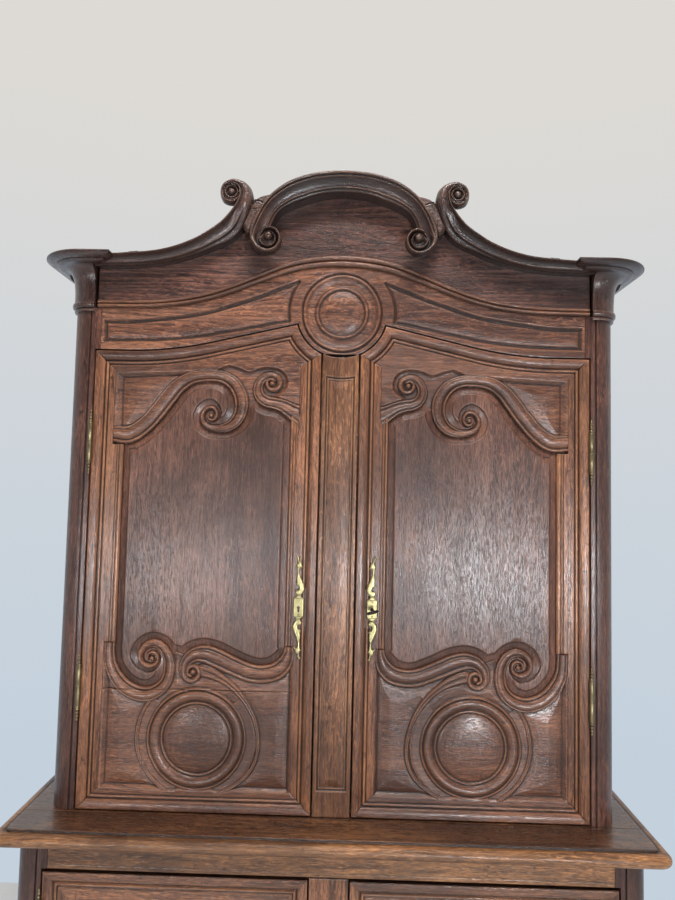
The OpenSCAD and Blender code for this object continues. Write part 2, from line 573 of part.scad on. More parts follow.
module lower_left_door_escutcheon() { color(brass) mirror([1, 0, 0]) escutcheon_r(lkey_z, yL); }
module lower_left_door_bolt() { color(iron) mirror([1, 0, 0]) bolt_r(lkey_z, yL); }
module lower_right_door_frame() { color(light_oak) ldoor_frame_r(); }
module lower_right_door_panel() { color(oak) lpanel_r(); }
module lower_right_door_hinge_sleeves() { color(brass) for (z = hinge_lo) sleeve_r(lx - 1.5, yL, z); }
module lower_right_door_lock() { color(iron) lock_r(lkey_z, yL); }
module lower_right_door_escutcheon() { color(brass) escutcheon_r(lkey_z, yL); }
module lower_right_door_bolt() { color(iron) bolt_r(lkey_z, yL); }

base_front_posts();
base_back_posts();
base_centre_post();
base_frieze_rail();
base_apron();
base_side_rails();
base_side_panels();
base_back();
base_floor_board();
table_top();
upper_front_posts();
upper_back_posts();
upper_centre_post();
upper_traverse();
upper_side_rails();
upper_side_panels();
upper_back();
upper_floor_board();
upper_top_board();
shelves();
shelf_cleats();
frieze_board();
curved_bead();
cornice_sweep_left();
cornice_sweep_right();
cornice_arch();
cornice_corner_blocks();
corner_capitals();
side_cornices();
hinge_pins();
left_door_stiles();
left_door_top_rail();
left_door_bottom_rail();
left_door_panel();
left_door_hinge_sleeves();
left_door_lock();
left_door_escutcheon();
left_door_bolt();
right_door_stiles();
right_door_top_rail();
right_door_bottom_rail();
right_door_panel();
right_door_hinge_sleeves();
right_door_lock();
right_door_escutcheon();
right_door_bolt();
key();
lower_left_door_frame();
lower_left_door_panel();
lower_left_door_hinge_sleeves();
lower_left_door_lock();
lower_left_door_escutcheon();
lower_left_door_bolt();
lower_right_door_frame();
lower_right_door_panel();
lower_right_door_hinge_sleeves();
lower_right_door_lock();
lower_right_door_escutcheon();
lower_right_door_bolt();
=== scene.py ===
import bpy
import math
import numpy as np
from mathutils import Matrix, Vector


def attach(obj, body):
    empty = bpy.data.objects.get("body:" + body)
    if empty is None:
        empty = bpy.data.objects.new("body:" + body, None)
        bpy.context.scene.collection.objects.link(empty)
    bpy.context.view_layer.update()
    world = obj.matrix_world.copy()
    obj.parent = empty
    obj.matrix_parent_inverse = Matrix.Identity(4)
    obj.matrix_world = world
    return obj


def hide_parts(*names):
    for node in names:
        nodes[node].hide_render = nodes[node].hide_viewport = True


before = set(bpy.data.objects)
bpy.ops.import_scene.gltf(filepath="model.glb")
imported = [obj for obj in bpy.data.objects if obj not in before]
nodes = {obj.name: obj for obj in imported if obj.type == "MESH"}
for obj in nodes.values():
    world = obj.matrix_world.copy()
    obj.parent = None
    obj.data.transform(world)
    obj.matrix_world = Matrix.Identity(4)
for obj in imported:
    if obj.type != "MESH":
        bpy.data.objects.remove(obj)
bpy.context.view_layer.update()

# Row frame in millimetres: x right, y back, z up; T is the table surface.
T, TU = 920.0, 886.0
yU, yL, yR = -168.0, -215.0, 270.0
BIG = 1e6


# ------------------------------------------------------------------ helpers
def crom(P, n=8):
    """A smooth line through knots of any dimension."""
    P = np.asarray(P, float)
    Q = np.vstack([2 * P[0] - P[1], P, 2 * P[-1] - P[-2]])
    t = np.linspace(0, 1, n, endpoint=False)[:, None]
    out = []
    for i in range(len(P) - 1):
        a, b, c, d = Q[i], Q[i + 1], Q[i + 2], Q[i + 3]
        out.append(0.5 * (2 * b + (c - a) * t + (2 * a - 5 * b + 4 * c - d) * t * t
                          + (3 * b - a - 3 * c + d) * t ** 3))
    out.append(P[-1:])
    return np.vstack(out)


def table(pts, soft=0.5, n=900):
    """A profile through (distance, height) points, with its corners eased."""
    xs = np.array([p[0] for p in pts], float)
    ys = np.array([p[1] for p in pts], float)
    g = np.linspace(xs[0], xs[-1], n)
    y = np.interp(g, xs, ys)
    k = int(soft / (g[1] - g[0]))
    if k > 1:
        ker = np.bartlett(2 * k + 1)
        ker /= ker.sum()
        y = np.convolve(np.pad(y, k, mode="edge"), ker, mode="valid")
    return lambda v: np.interp(v, g, y)


def smooth(a, b, x):
    t = np.clip((x - a) / (b - a), 0, 1)
    return t * t * (3 - 2 * t)


def box_blur(A, r):
    r = int(max(1, r))
    for ax in (0, 1):
        P = np.pad(A, [(r + 1, r) if ax == k else (0, 0) for k in (0, 1)], mode="edge")
        C = np.cumsum(P, axis=ax)
        if ax == 0:
            A = (C[2 * r + 1:] - C[:-2 * r - 1]) / (2 * r + 1)
        else:
            A = (C[:, 2 * r + 1:] - C[:, :-2 * r - 1]) / (2 * r + 1)
    return A


def wob(x, z, seed, scale=40.0):
    """Slow waviness of hand work, about -1 to 1."""
    r = np.random.default_rng(seed)
    v = 0
    for _ in range(5):
        a, b = r.normal(0, 1, 2) / scale
        v = v + np.sin(a * x + b * z + r.uniform(0, 6.28))
    return v / 3.2


def sdpoly(X, Z, P, reach=90.0):
    """Distance to a closed polygon, positive inside, cut off at reach."""
    P = np.asarray(P, float)
    D = np.full(X.shape, reach)
    inside = np.zeros(X.shape, bool)
    for i in range(len(P)):
        (ax, az), (bx, bz) = P[i], P[(i + 1) % len(P)]
        dx, dz = bx - ax, bz - az
        L = dx * dx + dz * dz
        if L < 1e-12:
            continue
        t = np.clip(((X - ax) * dx + (Z - az) * dz) / L, 0, 1)
        D = np.minimum(D, np.hypot(X - ax - t * dx, Z - az - t * dz))
        if az != bz:
            hit = (az > Z) != (bz > Z)
            inside ^= hit & (X < (bx - ax) * (Z - az) / (bz - az) + ax)
    return np.where(inside, D, -D)


def ribbon(X, Z, path, sign=1.0, n=8, reach=34.0):
    """Nearest place on a band of varying width: v across it (+1 and -1 are its edges), half width, length along it."""
    P = crom(path, n)
    V = np.full(X.shape, 99.0)
    W = np.full(X.shape, 1.0)
    S = np.zeros(X.shape)
    B = np.full(X.shape, 99.0)
    xs, zs = X[0], Z[:, 0]
    s0 = 0.0
    for a, b in zip(P[:-1], P[1:]):
        dx, dz = b[0] - a[0], b[1] - a[1]
        L = math.hypot(dx, dz)
        if L < 1e-6:
            continue
        w = max(a[2], b[2]) + reach
        i0, i1 = np.searchsorted(xs, [min(a[0], b[0]) - w, max(a[0], b[0]) + w])
        j0, j1 = np.searchsorted(zs, [min(a[1], b[1]) - w, max(a[1], b[1]) + w])
        if i0 < i1 and j0 < j1:
            sl = (slice(j0, j1), slice(i0, i1))
            px, pz = X[sl] - a[0], Z[sl] - a[1]
            t = np.clip((px * dx + pz * dz) / (L * L), 0, 1)
            ww = a[2] + t * (b[2] - a[2])
            d = np.hypot(px - t * dx, pz - t * dz) / ww
            side = sign * np.where(dx * pz - dz * px >= 0, 1.0, -1.0)
            m = d < B[sl]
            B[sl] = np.where(m, d, B[sl])
            V[sl] = np.where(m, d * side, V[sl])
            W[sl] = np.where(m, ww, W[sl])
            S[sl] = np.where(m, s0 + t * L, S[sl])
        s0 += L
    return V, W, S


def axis(*spans):
    """Grid positions: (start, end, step) spans that follow each other."""
    out = []
    for a, b, h in spans:
        k = max(1, int(round((b - a) / h)))
        out.extend(list(np.linspace(a, b, k, endpoint=False)))
    out.append(spans[-1][1])
    return np.array(out)


class Part:
    def __init__(self, V, Q=None, N=None, g=None, c=None, sharp=None):
        self.V = np.asarray(V, float)
        self.Q = np.zeros((0, 4), int) if Q is None else np.asarray(Q, int).reshape(-1, 4)
        self.N = N or []
        n = len(self.V)
        self.g = self.V * 0.001 if g is None else np.asarray(g, float)
        self.c = np.zeros(n) if c is None else np.broadcast_to(np.asarray(c, float), (n,)).copy()
        self.sharp = np.zeros((0, 2), int) if sharp is None else np.asarray(sharp, int).reshape(-1, 2)

    def mirrored(self):
        V = self.V * np.array([-1, 1, 1])
        g = self.g + np.array([0.37, 0.11, 0.53])
        return Part(V, self.Q[:, ::-1], [f[::-1] for f in self.N], g, self.c, self.sharp)

    def volume(self):
        V, s = self.V - self.V.mean(0), 0.0
        q = self.Q
        if len(q):
            for a, b, c in ((0, 1, 2), (0, 2, 3)):
                s += np.einsum("ij,ij->i", V[q[:, a]], np.cross(V[q[:, b]], V[q[:, c]])).sum()
        for f in self.N:
            p = V[np.array(f)]
            s += np.einsum("ij,ij->i", np.broadcast_to(p[0], p[1:-1].shape), np.cross(p[1:-1], p[2:])).sum()
        return s / 6

    def outward(self):
        if self.volume() < 0:
            self.Q = self.Q[:, ::-1]
            self.N = [f[::-1] for f in self.N]
        return self


MATS = {}
PIECES = {}


def make(name, parts, mat, body, replaces=(), angle=None):
    nv, V, Q, N, g, c, sh = 0, [], [], [], [], [], []
    for p in parts:
        V.append(p.V)
        Q.append(p.Q + nv)
        N.extend([[i + nv for i in f] for f in p.N])
        g.append(p.g)
        c.append(p.c)
        sh.append(p.sharp + nv)
        nv += len(p.V)
    V, Q, g, c, sh = np.vstack(V), np.vstack(Q), np.vstack(g), np.concatenate(c), np.vstack(sh)
    total = np.concatenate([np.full(len(Q), 4), [len(f) for f in N]]).astype(np.int32)
    flat = np.concatenate([Q.ravel()] + [np.array(f) for f in N]).astype(np.int32)
    start = np.concatenate([[0], np.cumsum(total)[:-1]]).astype(np.int32)
    me = bpy.data.meshes.new(name)
    me.vertices.add(nv)
    me.vertices.foreach_set("co", (V * 0.001).astype(np.float32).ravel())
    me.loops.add(len(flat))
    me.loops.foreach_set("vertex_index", flat)
    me.polygons.add(len(total))
    me.polygons.foreach_set("loop_start", start)
    me.polygons.foreach_set("loop_total", total)
    me.update(calc_edges=True)
    me.shade_smooth()
    if angle is not None:
        me.set_sharp_from_angle(angle=math.radians(angle))
    if len(sh):
        ev = np.zeros(len(me.edges) * 2, np.int32)
        me.edges.foreach_get("vertices", ev)
        ev = np.sort(ev.reshape(-1, 2), axis=1).astype(np.int64)
        key = ev[:, 0] * nv + ev[:, 1]
        s2 = np.sort(sh, axis=1).astype(np.int64)
        flag = np.isin(key, s2[:, 0] * nv + s2[:, 1])
        if angle is not None:
            old = np.zeros(len(me.edges), bool)
            me.edges.foreach_get("use_edge_sharp", old)
            flag |= old
        me.edges.foreach_set("use_edge_sharp", flag)
    at = me.attributes.new("gco", "FLOAT_VECTOR", "POINT")
    at.data.foreach_set("vector", g.astype(np.float32).ravel())
    at = me.attributes.new("cav", "FLOAT", "POINT")
    at.data.foreach_set("value", c.astype(np.float32))
    me.materials.append(mat)
    o = bpy.data.objects.new(name, me)
    bpy.context.scene.collection.objects.link(o)
    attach(o, body)
    if replaces:
        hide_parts(*replaces)
    PIECES[name] = o
    return o


def relief(x, z, F, H, y0, y1, grain="z", off=(0, 0, 0), cavity=1.0, place=None, outline_dirt_and_shade=0.35, blur=(1, 4), back_wall_shade=0.25):
    """A closed solid whose front is the height H (mm towards the viewer) over the area where F > 0, in front of its back.
    x and z are grid positions, y0 the front plane, y1 the back: a number, or a function of x and z."""
    nz, nx = F.shape
    ins = F > 0
    # cav: how far a point lies below its blurred surroundings, plus a darkening along the outline; the finishes darken
    # with it, as dirt and painted shade in grooves and where the piece meets its neighbours
    C = (box_blur(H, blur[0]) - H) / 0.9 + (box_blur(H, blur[1]) - H) / 3.0
    C = np.clip(C * cavity, -1, 1) + outline_dirt_and_shade * np.exp(-np.clip(F, 0, 50) / 1.6)
    gid = np.arange(nz * nx).reshape(nz, nx)
    X, Z = np.meshgrid(x, z)
    pts = [np.stack([X, Z, H, C], -1).reshape(-1, 4)]
    base = nz * nx

    def crossing(F0, F1, P0, P1, mask):
        t = np.clip(F0[mask] / (F0[mask] - F1[mask]), 0.03, 0.97)[:, None]
        return P0[mask] * (1 - t) + P1[mask] * t

    G = np.stack([X, Z, H, C], -1)
    hm = ins[:, :-1] != ins[:, 1:]
    hid = np.full(hm.shape, -1)
    hid[hm] = base + np.arange(hm.sum())
    pts.append(crossing(F[:, :-1], F[:, 1:], G[:, :-1], G[:, 1:], hm))
    base += int(hm.sum())
    vm = ins[:-1] != ins[1:]
    vid = np.full(vm.shape, -1)
    vid[vm] = base + np.arange(vm.sum())
    pts.append(crossing(F[:-1], F[1:], G[:-1], G[1:], vm))
    pts = np.vstack(pts)
    a, b, c, d = ins[:-1, :-1], ins[:-1, 1:], ins[1:, 1:], ins[1:, :-1]
    full = a & b & c & d
    Q = np.stack([gid[:-1, :-1][full], gid[:-1, 1:][full], gid[1:, 1:][full], gid[1:, :-1][full]], -1)
    mixed = (a | b | c | d) & ~full
    polys = []
    for j, i in zip(*np.nonzero(mixed)):
        ring = [(ins[j, i], gid[j, i], hid[j, i]), (ins[j, i + 1], gid[j, i + 1], vid[j, i + 1]),
                (ins[j + 1, i + 1], gid[j + 1, i + 1], hid[j + 1, i]), (ins[j + 1, i], gid[j + 1, i], vid[j, i])]
        f = []
        for k in range(4):
            if ring[k][0]:
                f.append(int(ring[k][1]))
            if ring[k][0] != ring[(k + 1) % 4][0]:
                f.append(int(ring[k][2]))
        if len(f) > 2:
            polys.append(f)
    used = np.zeros(len(pts), bool)
    used[Q.ravel()] = True
    for f in polys:
        used[f] = True
    remap = np.full(len(pts), -1)
    remap[used] = np.arange(used.sum())
    pts = pts[used]
    Q = remap[Q]
    polys = [[int(remap[i]) for i in f] for f in polys]
    n = len(pts)
    E = [np.stack([Q[:, k], Q[:, (k + 1) % 4]], -1) for k in range(4)]
    E.append(np.array([(f[k], f[(k + 1) % len(f)]) for f in polys for k in range(len(f))], int).reshape(-1, 2))
    E = np.vstack(E).astype(np.int64)
    open_ = ~np.isin(E[:, 0] * n + E[:, 1], E[:, 1] * n + E[:, 0])
    rim = E[open_]
    rid = np.unique(rim)
    back = np.full(n, -1)
    back[rid] = n + np.arange(len(rid))
    follow = {}
    for p, q in rim:
        follow.setdefault(int(p), []).append(int(q))
    loops = []
    while follow:
        s = next(iter(follow))
        loop, cur = [s], s
        while True:
            nxt = follow[cur].pop()
            if not follow[cur]:
                del follow[cur]
            if nxt == s:
                break
            loop.append(nxt)
            cur = nxt
        loops.append(loop)
    P3 = np.stack([pts[:, 0], y0 - pts[:, 2], pts[:, 1]], -1)
    yb = y1 if callable(y1) else (lambda a, b: np.full(len(a), float(y1)))
    B3 = np.stack([pts[rid, 0], yb(pts[rid, 0], pts[rid, 1]), pts[rid, 1]], -1)
    # the back rim gets a fixed cav, so each side wall darkens from its front edge towards the back: painted shade
    # between parts
    c_all = np.concatenate([pts[:, 3], np.full(len(rid), back_wall_shade)])
    N = list(polys)
    holes = callable(y1)
    for lp in loops:
        q = pts[lp, :2]
        area = 0.5 * np.sum(q[:, 0] * np.roll(q[:, 1], -1) - np.roll(q[:, 0], -1) * q[:, 1])
        holes |= area < 0
    V = np.vstack([P3, B3])
    walls = np.stack([rim[:, 1], rim[:, 0], back[rim[:, 0]], back[rim[:, 1]]], -1)
    if holes:
        allb = back.copy()
        rest = np.nonzero(back < 0)[0]
        allb[rest] = len(V) + np.arange(len(rest))
        V = np.vstack([V, np.stack([pts[rest, 0], yb(pts[rest, 0], pts[rest, 1]), pts[rest, 1]], -1)])
        # the backs behind the holes get a small fixed cav as well: painted shade
        c_all = np.concatenate([c_all, np.full(len(rest), 0.1)])
        Qb = allb[Q[:, ::-1]]
        N += [[int(allb[i]) for i in f[::-1]] for f in polys]
        Qall = np.vstack([Q, walls, Qb])
    else:
        for lp in loops:
            N.append([int(back[i]) for i in lp[::-1]])
        Qall = np.vstack([Q, walls])
    sharp = np.vstack([rim, np.stack([back[rim[:, 0]], back[rim[:, 1]]], -1)])
    g = V * 0.001
    if grain == "x":
        g = g[:, [2, 1, 0]]
    g = g + np.array(off)
    if place is not None:
        V = place(V)
    return Part(V, Qall, N, g, c_all, sharp)


def merge_grain(part, fn):
    part.g = fn(part)
    return part


def loft(S, closed=True, caps=True, off=(0, 0, 0), cav=True, gdir="path", ring=False):
    """Skin over cross-sections S (m, k, 3)."""
    S = np.asarray(S, float)
    m, k, _ = S.shape
    V = S.reshape(-1, 3)
    idx = np.arange(m * k).reshape(m, k)
    kk = k if closed else k - 1
    mm = m if ring else m - 1
    Q = []
    for i in range(mm):
        i2 = (i + 1) % m
        j = np.arange(kk)
        j2 = (j + 1) % k
        Q.append(np.stack([idx[i, j], idx[i, j2], idx[i2, j2], idx[i2, j]], -1))
    Q = np.vstack(Q)
    N = []
    if caps and closed and not ring:
        N = [list(map(int, idx[0][::-1])), list(map(int, idx[-1]))]
    along = np.concatenate([[0], np.cumsum(np.linalg.norm(np.diff(S.mean(1), axis=0), axis=1))])
    mid = S[m // 2]
    across = np.concatenate([[0], np.cumsum(np.linalg.norm(np.diff(mid, axis=0), axis=1))])
    g = np.zeros((m, k, 3))
    if gdir == "path":
        g[..., 0] = across[None, :]
        g[..., 2] = along[:, None]
    elif gdir == "x":
        g = S[..., [2, 1, 0]].copy()
    else:
        g = S.copy()
    g = g.reshape(-1, 3) * 0.001 + np.array(off)
    P = Part(V, Q, N, g)
    P.outward()
    # concavity of the section, stored as cav: the wood finishes darken hollows with it (dirt and painted shade) and
    # lighten ridges (wear); on metal it darkens hollows as patina
    if cav:
        flipped = P.Q[0][0] != Q[0][0]
        nb = np.zeros((k, 3))
        cum = across
        tot = cum[-1] + np.linalg.norm(mid[0] - mid[-1])
        for j in range(k):
            d = np.abs(cum - cum[j])
            if closed:
                d = np.minimum(d, tot - d)
            w = np.clip(1 - d / 7.0, 0, 1)
            nb[j] = (mid * w[:, None]).sum(0) / w.sum()
        tan = np.roll(mid, -1, 0) - np.roll(mid, 1, 0)
        path = S[min(m - 1, m // 2 + 1)].mean(0) - S[max(0, m // 2 - 1)].mean(0)
        nor = np.cross(tan, path)
        nor /= np.maximum(np.linalg.norm(nor, axis=1), 1e-9)[:, None]
        if flipped:
            nor = -nor
        val = np.clip(((nb - mid) * nor).sum(1) / 1.6, -1, 1)
        P.c = np.tile(val, m)
    return P


def lathe(cx_, cy_, cz_, prof, axis_="z", seg=32, off=(0, 0, 0), cavity=1.0):
    """Turned shape: prof is (radius, position along the axis)."""
    prof = np.asarray(prof, float)
    a = np.linspace(0, 2 * math.pi, seg, endpoint=False)
    r, t = prof[:, 0][:, None], prof[:, 1][:, None]
    u, v = r * np.cos(a)[None], r * np.sin(a)[None]
    tt = np.broadcast_to(t, u.shape)
    if axis_ == "z":
        S = np.stack([cx_ + u, cy_ + v, cz_ + tt], -1)
    else:
        S = np.stack([cx_ + u, cy_ + tt, cz_ + v], -1)
    m, k = u.shape
    idx = np.arange(m * k).reshape(m, k)
    j = np.arange(k)
    Q = np.vstack([np.stack([idx[i, j], idx[i, (j + 1) % k], idx[i + 1, (j + 1) % k], idx[i + 1, j]], -1) for i in range(m - 1)])
    P = Part(S.reshape(-1, 3), Q, [list(map(int, idx[0][::-1])), list(map(int, idx[-1]))])
    P.g = P.V * 0.001 + np.array(off)
    # concavity along the profile, stored as cav: hollows are darkened by the finishes, dirt and painted shade on wood,
    # patina on metal
    rr = prof[:, 0]
    sm = np.array([np.average(rr, weights=np.clip(1 - np.abs(prof[:, 1] - p[1]) / 4.0, 0.001, 1)) for p in prof])
    P.c = np.repeat(np.clip((sm - rr) / 1.5 * cavity, -1, 1), k)
    return P.outward()


def ribbon_solid(path, profile, back, n=10, sign=1.0, off=(0, 0, 0), y=yU):
    """A moulding that follows a band in the front plane. profile(s) gives (v, projection) points; s is 0..1 along the path."""
    P = crom(path, n)
    d = np.gradient(P[:, :2], axis=0)
    L = np.linalg.norm(d, axis=1)
    keep = L > 1e-6
    P, d, L = P[keep], d[keep], L[keep]
    nrm = np.stack([-d[:, 1], d[:, 0]], -1) / L[:, None] * sign
    s = np.concatenate([[0], np.cumsum(np.linalg.norm(np.diff(P[:, :2], axis=0), axis=1))])
    S = []
    for i in range(len(P)):
        pr = np.asarray(profile(s[i] / s[-1], P[i]), float)
        v, p = pr[:, 0], pr[:, 1]
        q = P[i, :2] + nrm[i] * (v * P[i, 2])[:, None]
        front = np.stack([q[:, 0], y - p, q[:, 1] + T], -1)
        e0 = P[i, :2] - nrm[i] * P[i, 2] * abs(v[-1])
        e1 = P[i, :2] + nrm[i] * P[i, 2] * abs(v[0])
        bk = np.array([[e0[0], y - back, e0[1] + T], [e1[0], y - back, e1[1] + T]])
        S.append(np.vstack([front, bk]))
    return loft(S, off=off)


def extrude(poly2, place, t0, t1, bevel=0.8, off=(0, 0, 0)):
    """A flat shape with softened edges. place(a, b, t) gives the row point."""
    p = np.asarray(poly2, float)
    e = np.roll(p, -1, 0) - np.roll(p, 1, 0)
    nn = np.stack([e[:, 1], -e[:, 0]], -1)
    nn /= np.maximum(np.linalg.norm(nn, axis=1), 1e-9)[:, None]
    area = 0.5 * np.sum(p[:, 0] * np.roll(p[:, 1], -1) - np.roll(p[:, 0], -1) * p[:, 1])
    if area < 0:
        nn = -nn
    S = []
    for t, o in ((t0, bevel), (t0 + bevel, 0), (t1 - bevel, 0), (t1, bevel)):
        q = p - nn * o
        S.append([place(a, b, t) for a, b in q])
    return loft(S, off=off, gdir="z")


# ------------------------------------------------------------------ finishes
def new_mat(name):
    m = bpy.data.materials.new(name)
    m.use_nodes = True
    nt = m.node_tree
    nt.nodes.clear()
    out = nt.nodes.new("ShaderNodeOutputMaterial")
    bs = nt.nodes.new("ShaderNodeBsdfPrincipled")
    nt.links.new(bs.outputs[0], out.inputs[0])
    return m, nt, bs


def N(nt, kind, **kw):
    n = nt.nodes.new(kind)
    for k, v in kw.items():
        setattr(n, k, v)
    return n


def val(nt, op, a, b=None, clamp=False):
    n = N(nt, "ShaderNodeMath", operation=op, use_clamp=clamp)
    for i, s in enumerate((a, b)):
        if s is None:
            continue
        if isinstance(s, (int, float)):
            n.inputs[i].default_value = s
        else:
            nt.links.new(s, n.inputs[i])
    return n.outputs[0]


def vscale(nt, vec, sx, sy, sz, loc=(0, 0, 0)):
    n = N(nt, "ShaderNodeMapping")
    n.inputs["Scale"].default_value = (sx, sy, sz)
    n.inputs["Location"].default_value = loc
    nt.links.new(vec, n.inputs["Vector"])
    return n.outputs[0]


def noise(nt, vec, scale=1.0, detail=2.0, rough=0.5, dist=0.0):
    n = N(nt, "ShaderNodeTexNoise")
    n.inputs["Scale"].default_value = scale
    n.inputs["Detail"].default_value = detail
    n.inputs["Roughness"].default_value = rough
    n.inputs["Distortion"].default_value = dist
    nt.links.new(vec, n.inputs["Vector"])
    return n.outputs["Fac"]


def ramp(nt, fac, stops, interp="LINEAR"):
    n = N(nt, "ShaderNodeValToRGB")
    n.color_ramp.interpolation = interp
    e = n.color_ramp.elements
    while len(e) > len(stops):
        e.remove(e[-1])
    while len(e) < len(stops):
        e.new(0.5)
    for el, (p, c) in zip(e, stops):
        el.position = p
        el.color = (c[0], c[1], c[2], 1) if isinstance(c, (tuple, list)) else (c, c, c, 1)
    nt.links.new(fac, n.inputs[0])
    return n.outputs[0]


def mixc(nt, fac, a, b, blend="MIX"):
    n = N(nt, "ShaderNodeMix", data_type="RGBA", blend_type=blend)
    n.clamp_factor = True
    for sock, s in ((n.inputs[0], fac), (n.inputs[6], a), (n.inputs[7], b)):
        if isinstance(s, (int, float)):
            sock.default_value = s
        elif isinstance(s, (tuple, list)):
            sock.default_value = (s[0], s[1], s[2], 1)
        else:
            nt.links.new(s, sock)
    return n.outputs[2]


def oak(name, dark, mid, light, rough=0.34, coat=0.2, coords="attr", hollow_dirt_and_shade=1.0, wear=0.6, figure=0.5, seed=0.0,
        fleck=0.35, bump=0.6, wave=0.5, streak=0.6, worn=None, coat_r=0.17):
    m, nt, bs = new_mat(name)
    if coords == "attr":
        vec = N(nt, "ShaderNodeAttribute", attribute_name="gco").outputs["Vector"]
        cv = N(nt, "ShaderNodeAttribute", attribute_name="cav").outputs["Fac"]
    else:
        vec, cv = N(nt, "ShaderNodeTexCoord").outputs["Object"], None
        order = {"x": (2, 1, 0), "y": (0, 2, 1)}.get(coords)
        if order:
            sp = N(nt, "ShaderNodeSeparateXYZ")
            nt.links.new(vec, sp.inputs[0])
            cb = N(nt, "ShaderNodeCombineXYZ")
            for i, k in enumerate(order):
                nt.links.new(sp.outputs[k], cb.inputs[i])
            vec = cb.outputs[0]
    vec = vscale(nt, vec, 1, 1, 1, (seed * 1.7, seed * 0.9, seed * 2.3))

    def dim(c, k):
        return [min(1, v * k) for v in c]

    def wide(f, k):
        """A noise stretched about its middle."""
        return val(nt, "ADD", val(nt, "MULTIPLY", val(nt, "SUBTRACT", f, 0.5), k), 0.5)

    # slow bend of the grain lines
    bend = noise(nt, vscale(nt, vec, 7, 7, 1.3), 1.0, 3)
    bb = val(nt, "MULTIPLY", val(nt, "SUBTRACT", bend, 0.5), 0.05 + 0.06 * figure)
    cb = N(nt, "ShaderNodeCombineXYZ")
    nt.links.new(bb, cb.inputs[0])
    nt.links.new(bb, cb.inputs[1])
    ad = N(nt, "ShaderNodeVectorMath", operation="ADD")
    nt.links.new(vec, ad.inputs[0])
    nt.links.new(cb.outputs[0], ad.inputs[1])
    gv = ad.outputs[0]
    broad = noise(nt, vscale(nt, gv, 22, 22, 1.4), 1.0, 4, 0.6)
    medium = noise(nt, vscale(nt, gv, 190, 190, 10), 1.0, 4, 0.65)
    fine = noise(nt, vscale(nt, gv, 560, 560, 46), 1.0, 3, 0.6)
    # year rings cut by the board
    wv = N(nt, "ShaderNodeTexWave", wave_type="BANDS", bands_direction="X", wave_profile="SAW")
    wv.inputs["Scale"].default_value = 1.0
    wv.inputs["Distortion"].default_value = 7.0
    wv.inputs["Detail"].default_value = 2.5
    wv.inputs["Detail Scale"].default_value = 0.55
    nt.links.new(vscale(nt, gv, 24, 13, 1.5), wv.inputs["Vector"])
    g1 = val(nt, "ADD", val(nt, "MULTIPLY", broad, 0.36), val(nt, "MULTIPLY", medium, 0.34))
    g1 = val(nt, "ADD", g1, val(nt, "MULTIPLY", fine, 0.30))
    g1 = val(nt, "ADD", wide(g1, 3.6), val(nt, "MULTIPLY", val(nt, "SUBTRACT", wv.outputs["Fac"], 0.5), 0.34 * figure))
    base = ramp(nt, g1, [(0.05, dark), (0.5, mid), (0.95, light)])
    # dark streaks along the grain
    st = noise(nt, vscale(nt, gv, 88, 88, 2.2), 1.0, 5, 0.7)
    base = mixc(nt, val(nt, "MULTIPLY", ramp(nt, st, [(0.50, 0.0), (0.62, 1.0)]), streak), base, dim(dark, 0.55))
    # open pores: short dark strokes, coarse and fine
    p1 = ramp(nt, noise(nt, vscale(nt, gv, 440, 440, 44), 1.0, 2, 0.55), [(0.55, 0.0), (0.66, 1.0)])
    p2 = ramp(nt, noise(nt, vscale(nt, gv, 1050, 1050, 60), 1.0, 1.5, 0.5), [(0.54, 0.0), (0.66, 1.0)])
    pore = val(nt, "MAXIMUM", p1, val(nt, "MULTIPLY", p2, 0.8))
    base = mixc(nt, val(nt, "MULTIPLY", pore, 0.70), base, dim(dark, 0.30))
    # pale fibres between them
    fb = ramp(nt, noise(nt, vscale(nt, gv, 540, 540, 40), 1.0, 2, 0.6), [(0.54, 0.0), (0.68, 1.0)])
    base = mixc(nt, val(nt, "MULTIPLY", fb, 0.42), base, dim(light, 1.55))
    # silver rays
    fl = ramp(nt, noise(nt, vscale(nt, gv, 95, 95, 34), 1.0, 2, 0.55, 1.2), [(0.60, 0.0), (0.68, 1.0)])
    base = mixc(nt, val(nt, "MULTIPLY", fl, 0.40 * fleck), base, dim(light, 1.9))
    # old wax and dirt, in patches
    big = noise(nt, vscale(nt, vec, 3.6, 3.6, 2.4), 1.0, 4, 0.62)
    base = mixc(nt, ramp(nt, big, [(0.40, 0.68), (0.60, 0.0)]), base, dim(dark, 0.62))
    spots = ramp(nt, noise(nt, vscale(nt, vec, 48, 48, 40), 1.0, 2, 0.6), [(0.67, 0.0), (0.75, 0.8)])
    base = mixc(nt, spots, base, dim(dark, 0.4))
    hollow = ridge = None
    if cv is not None:
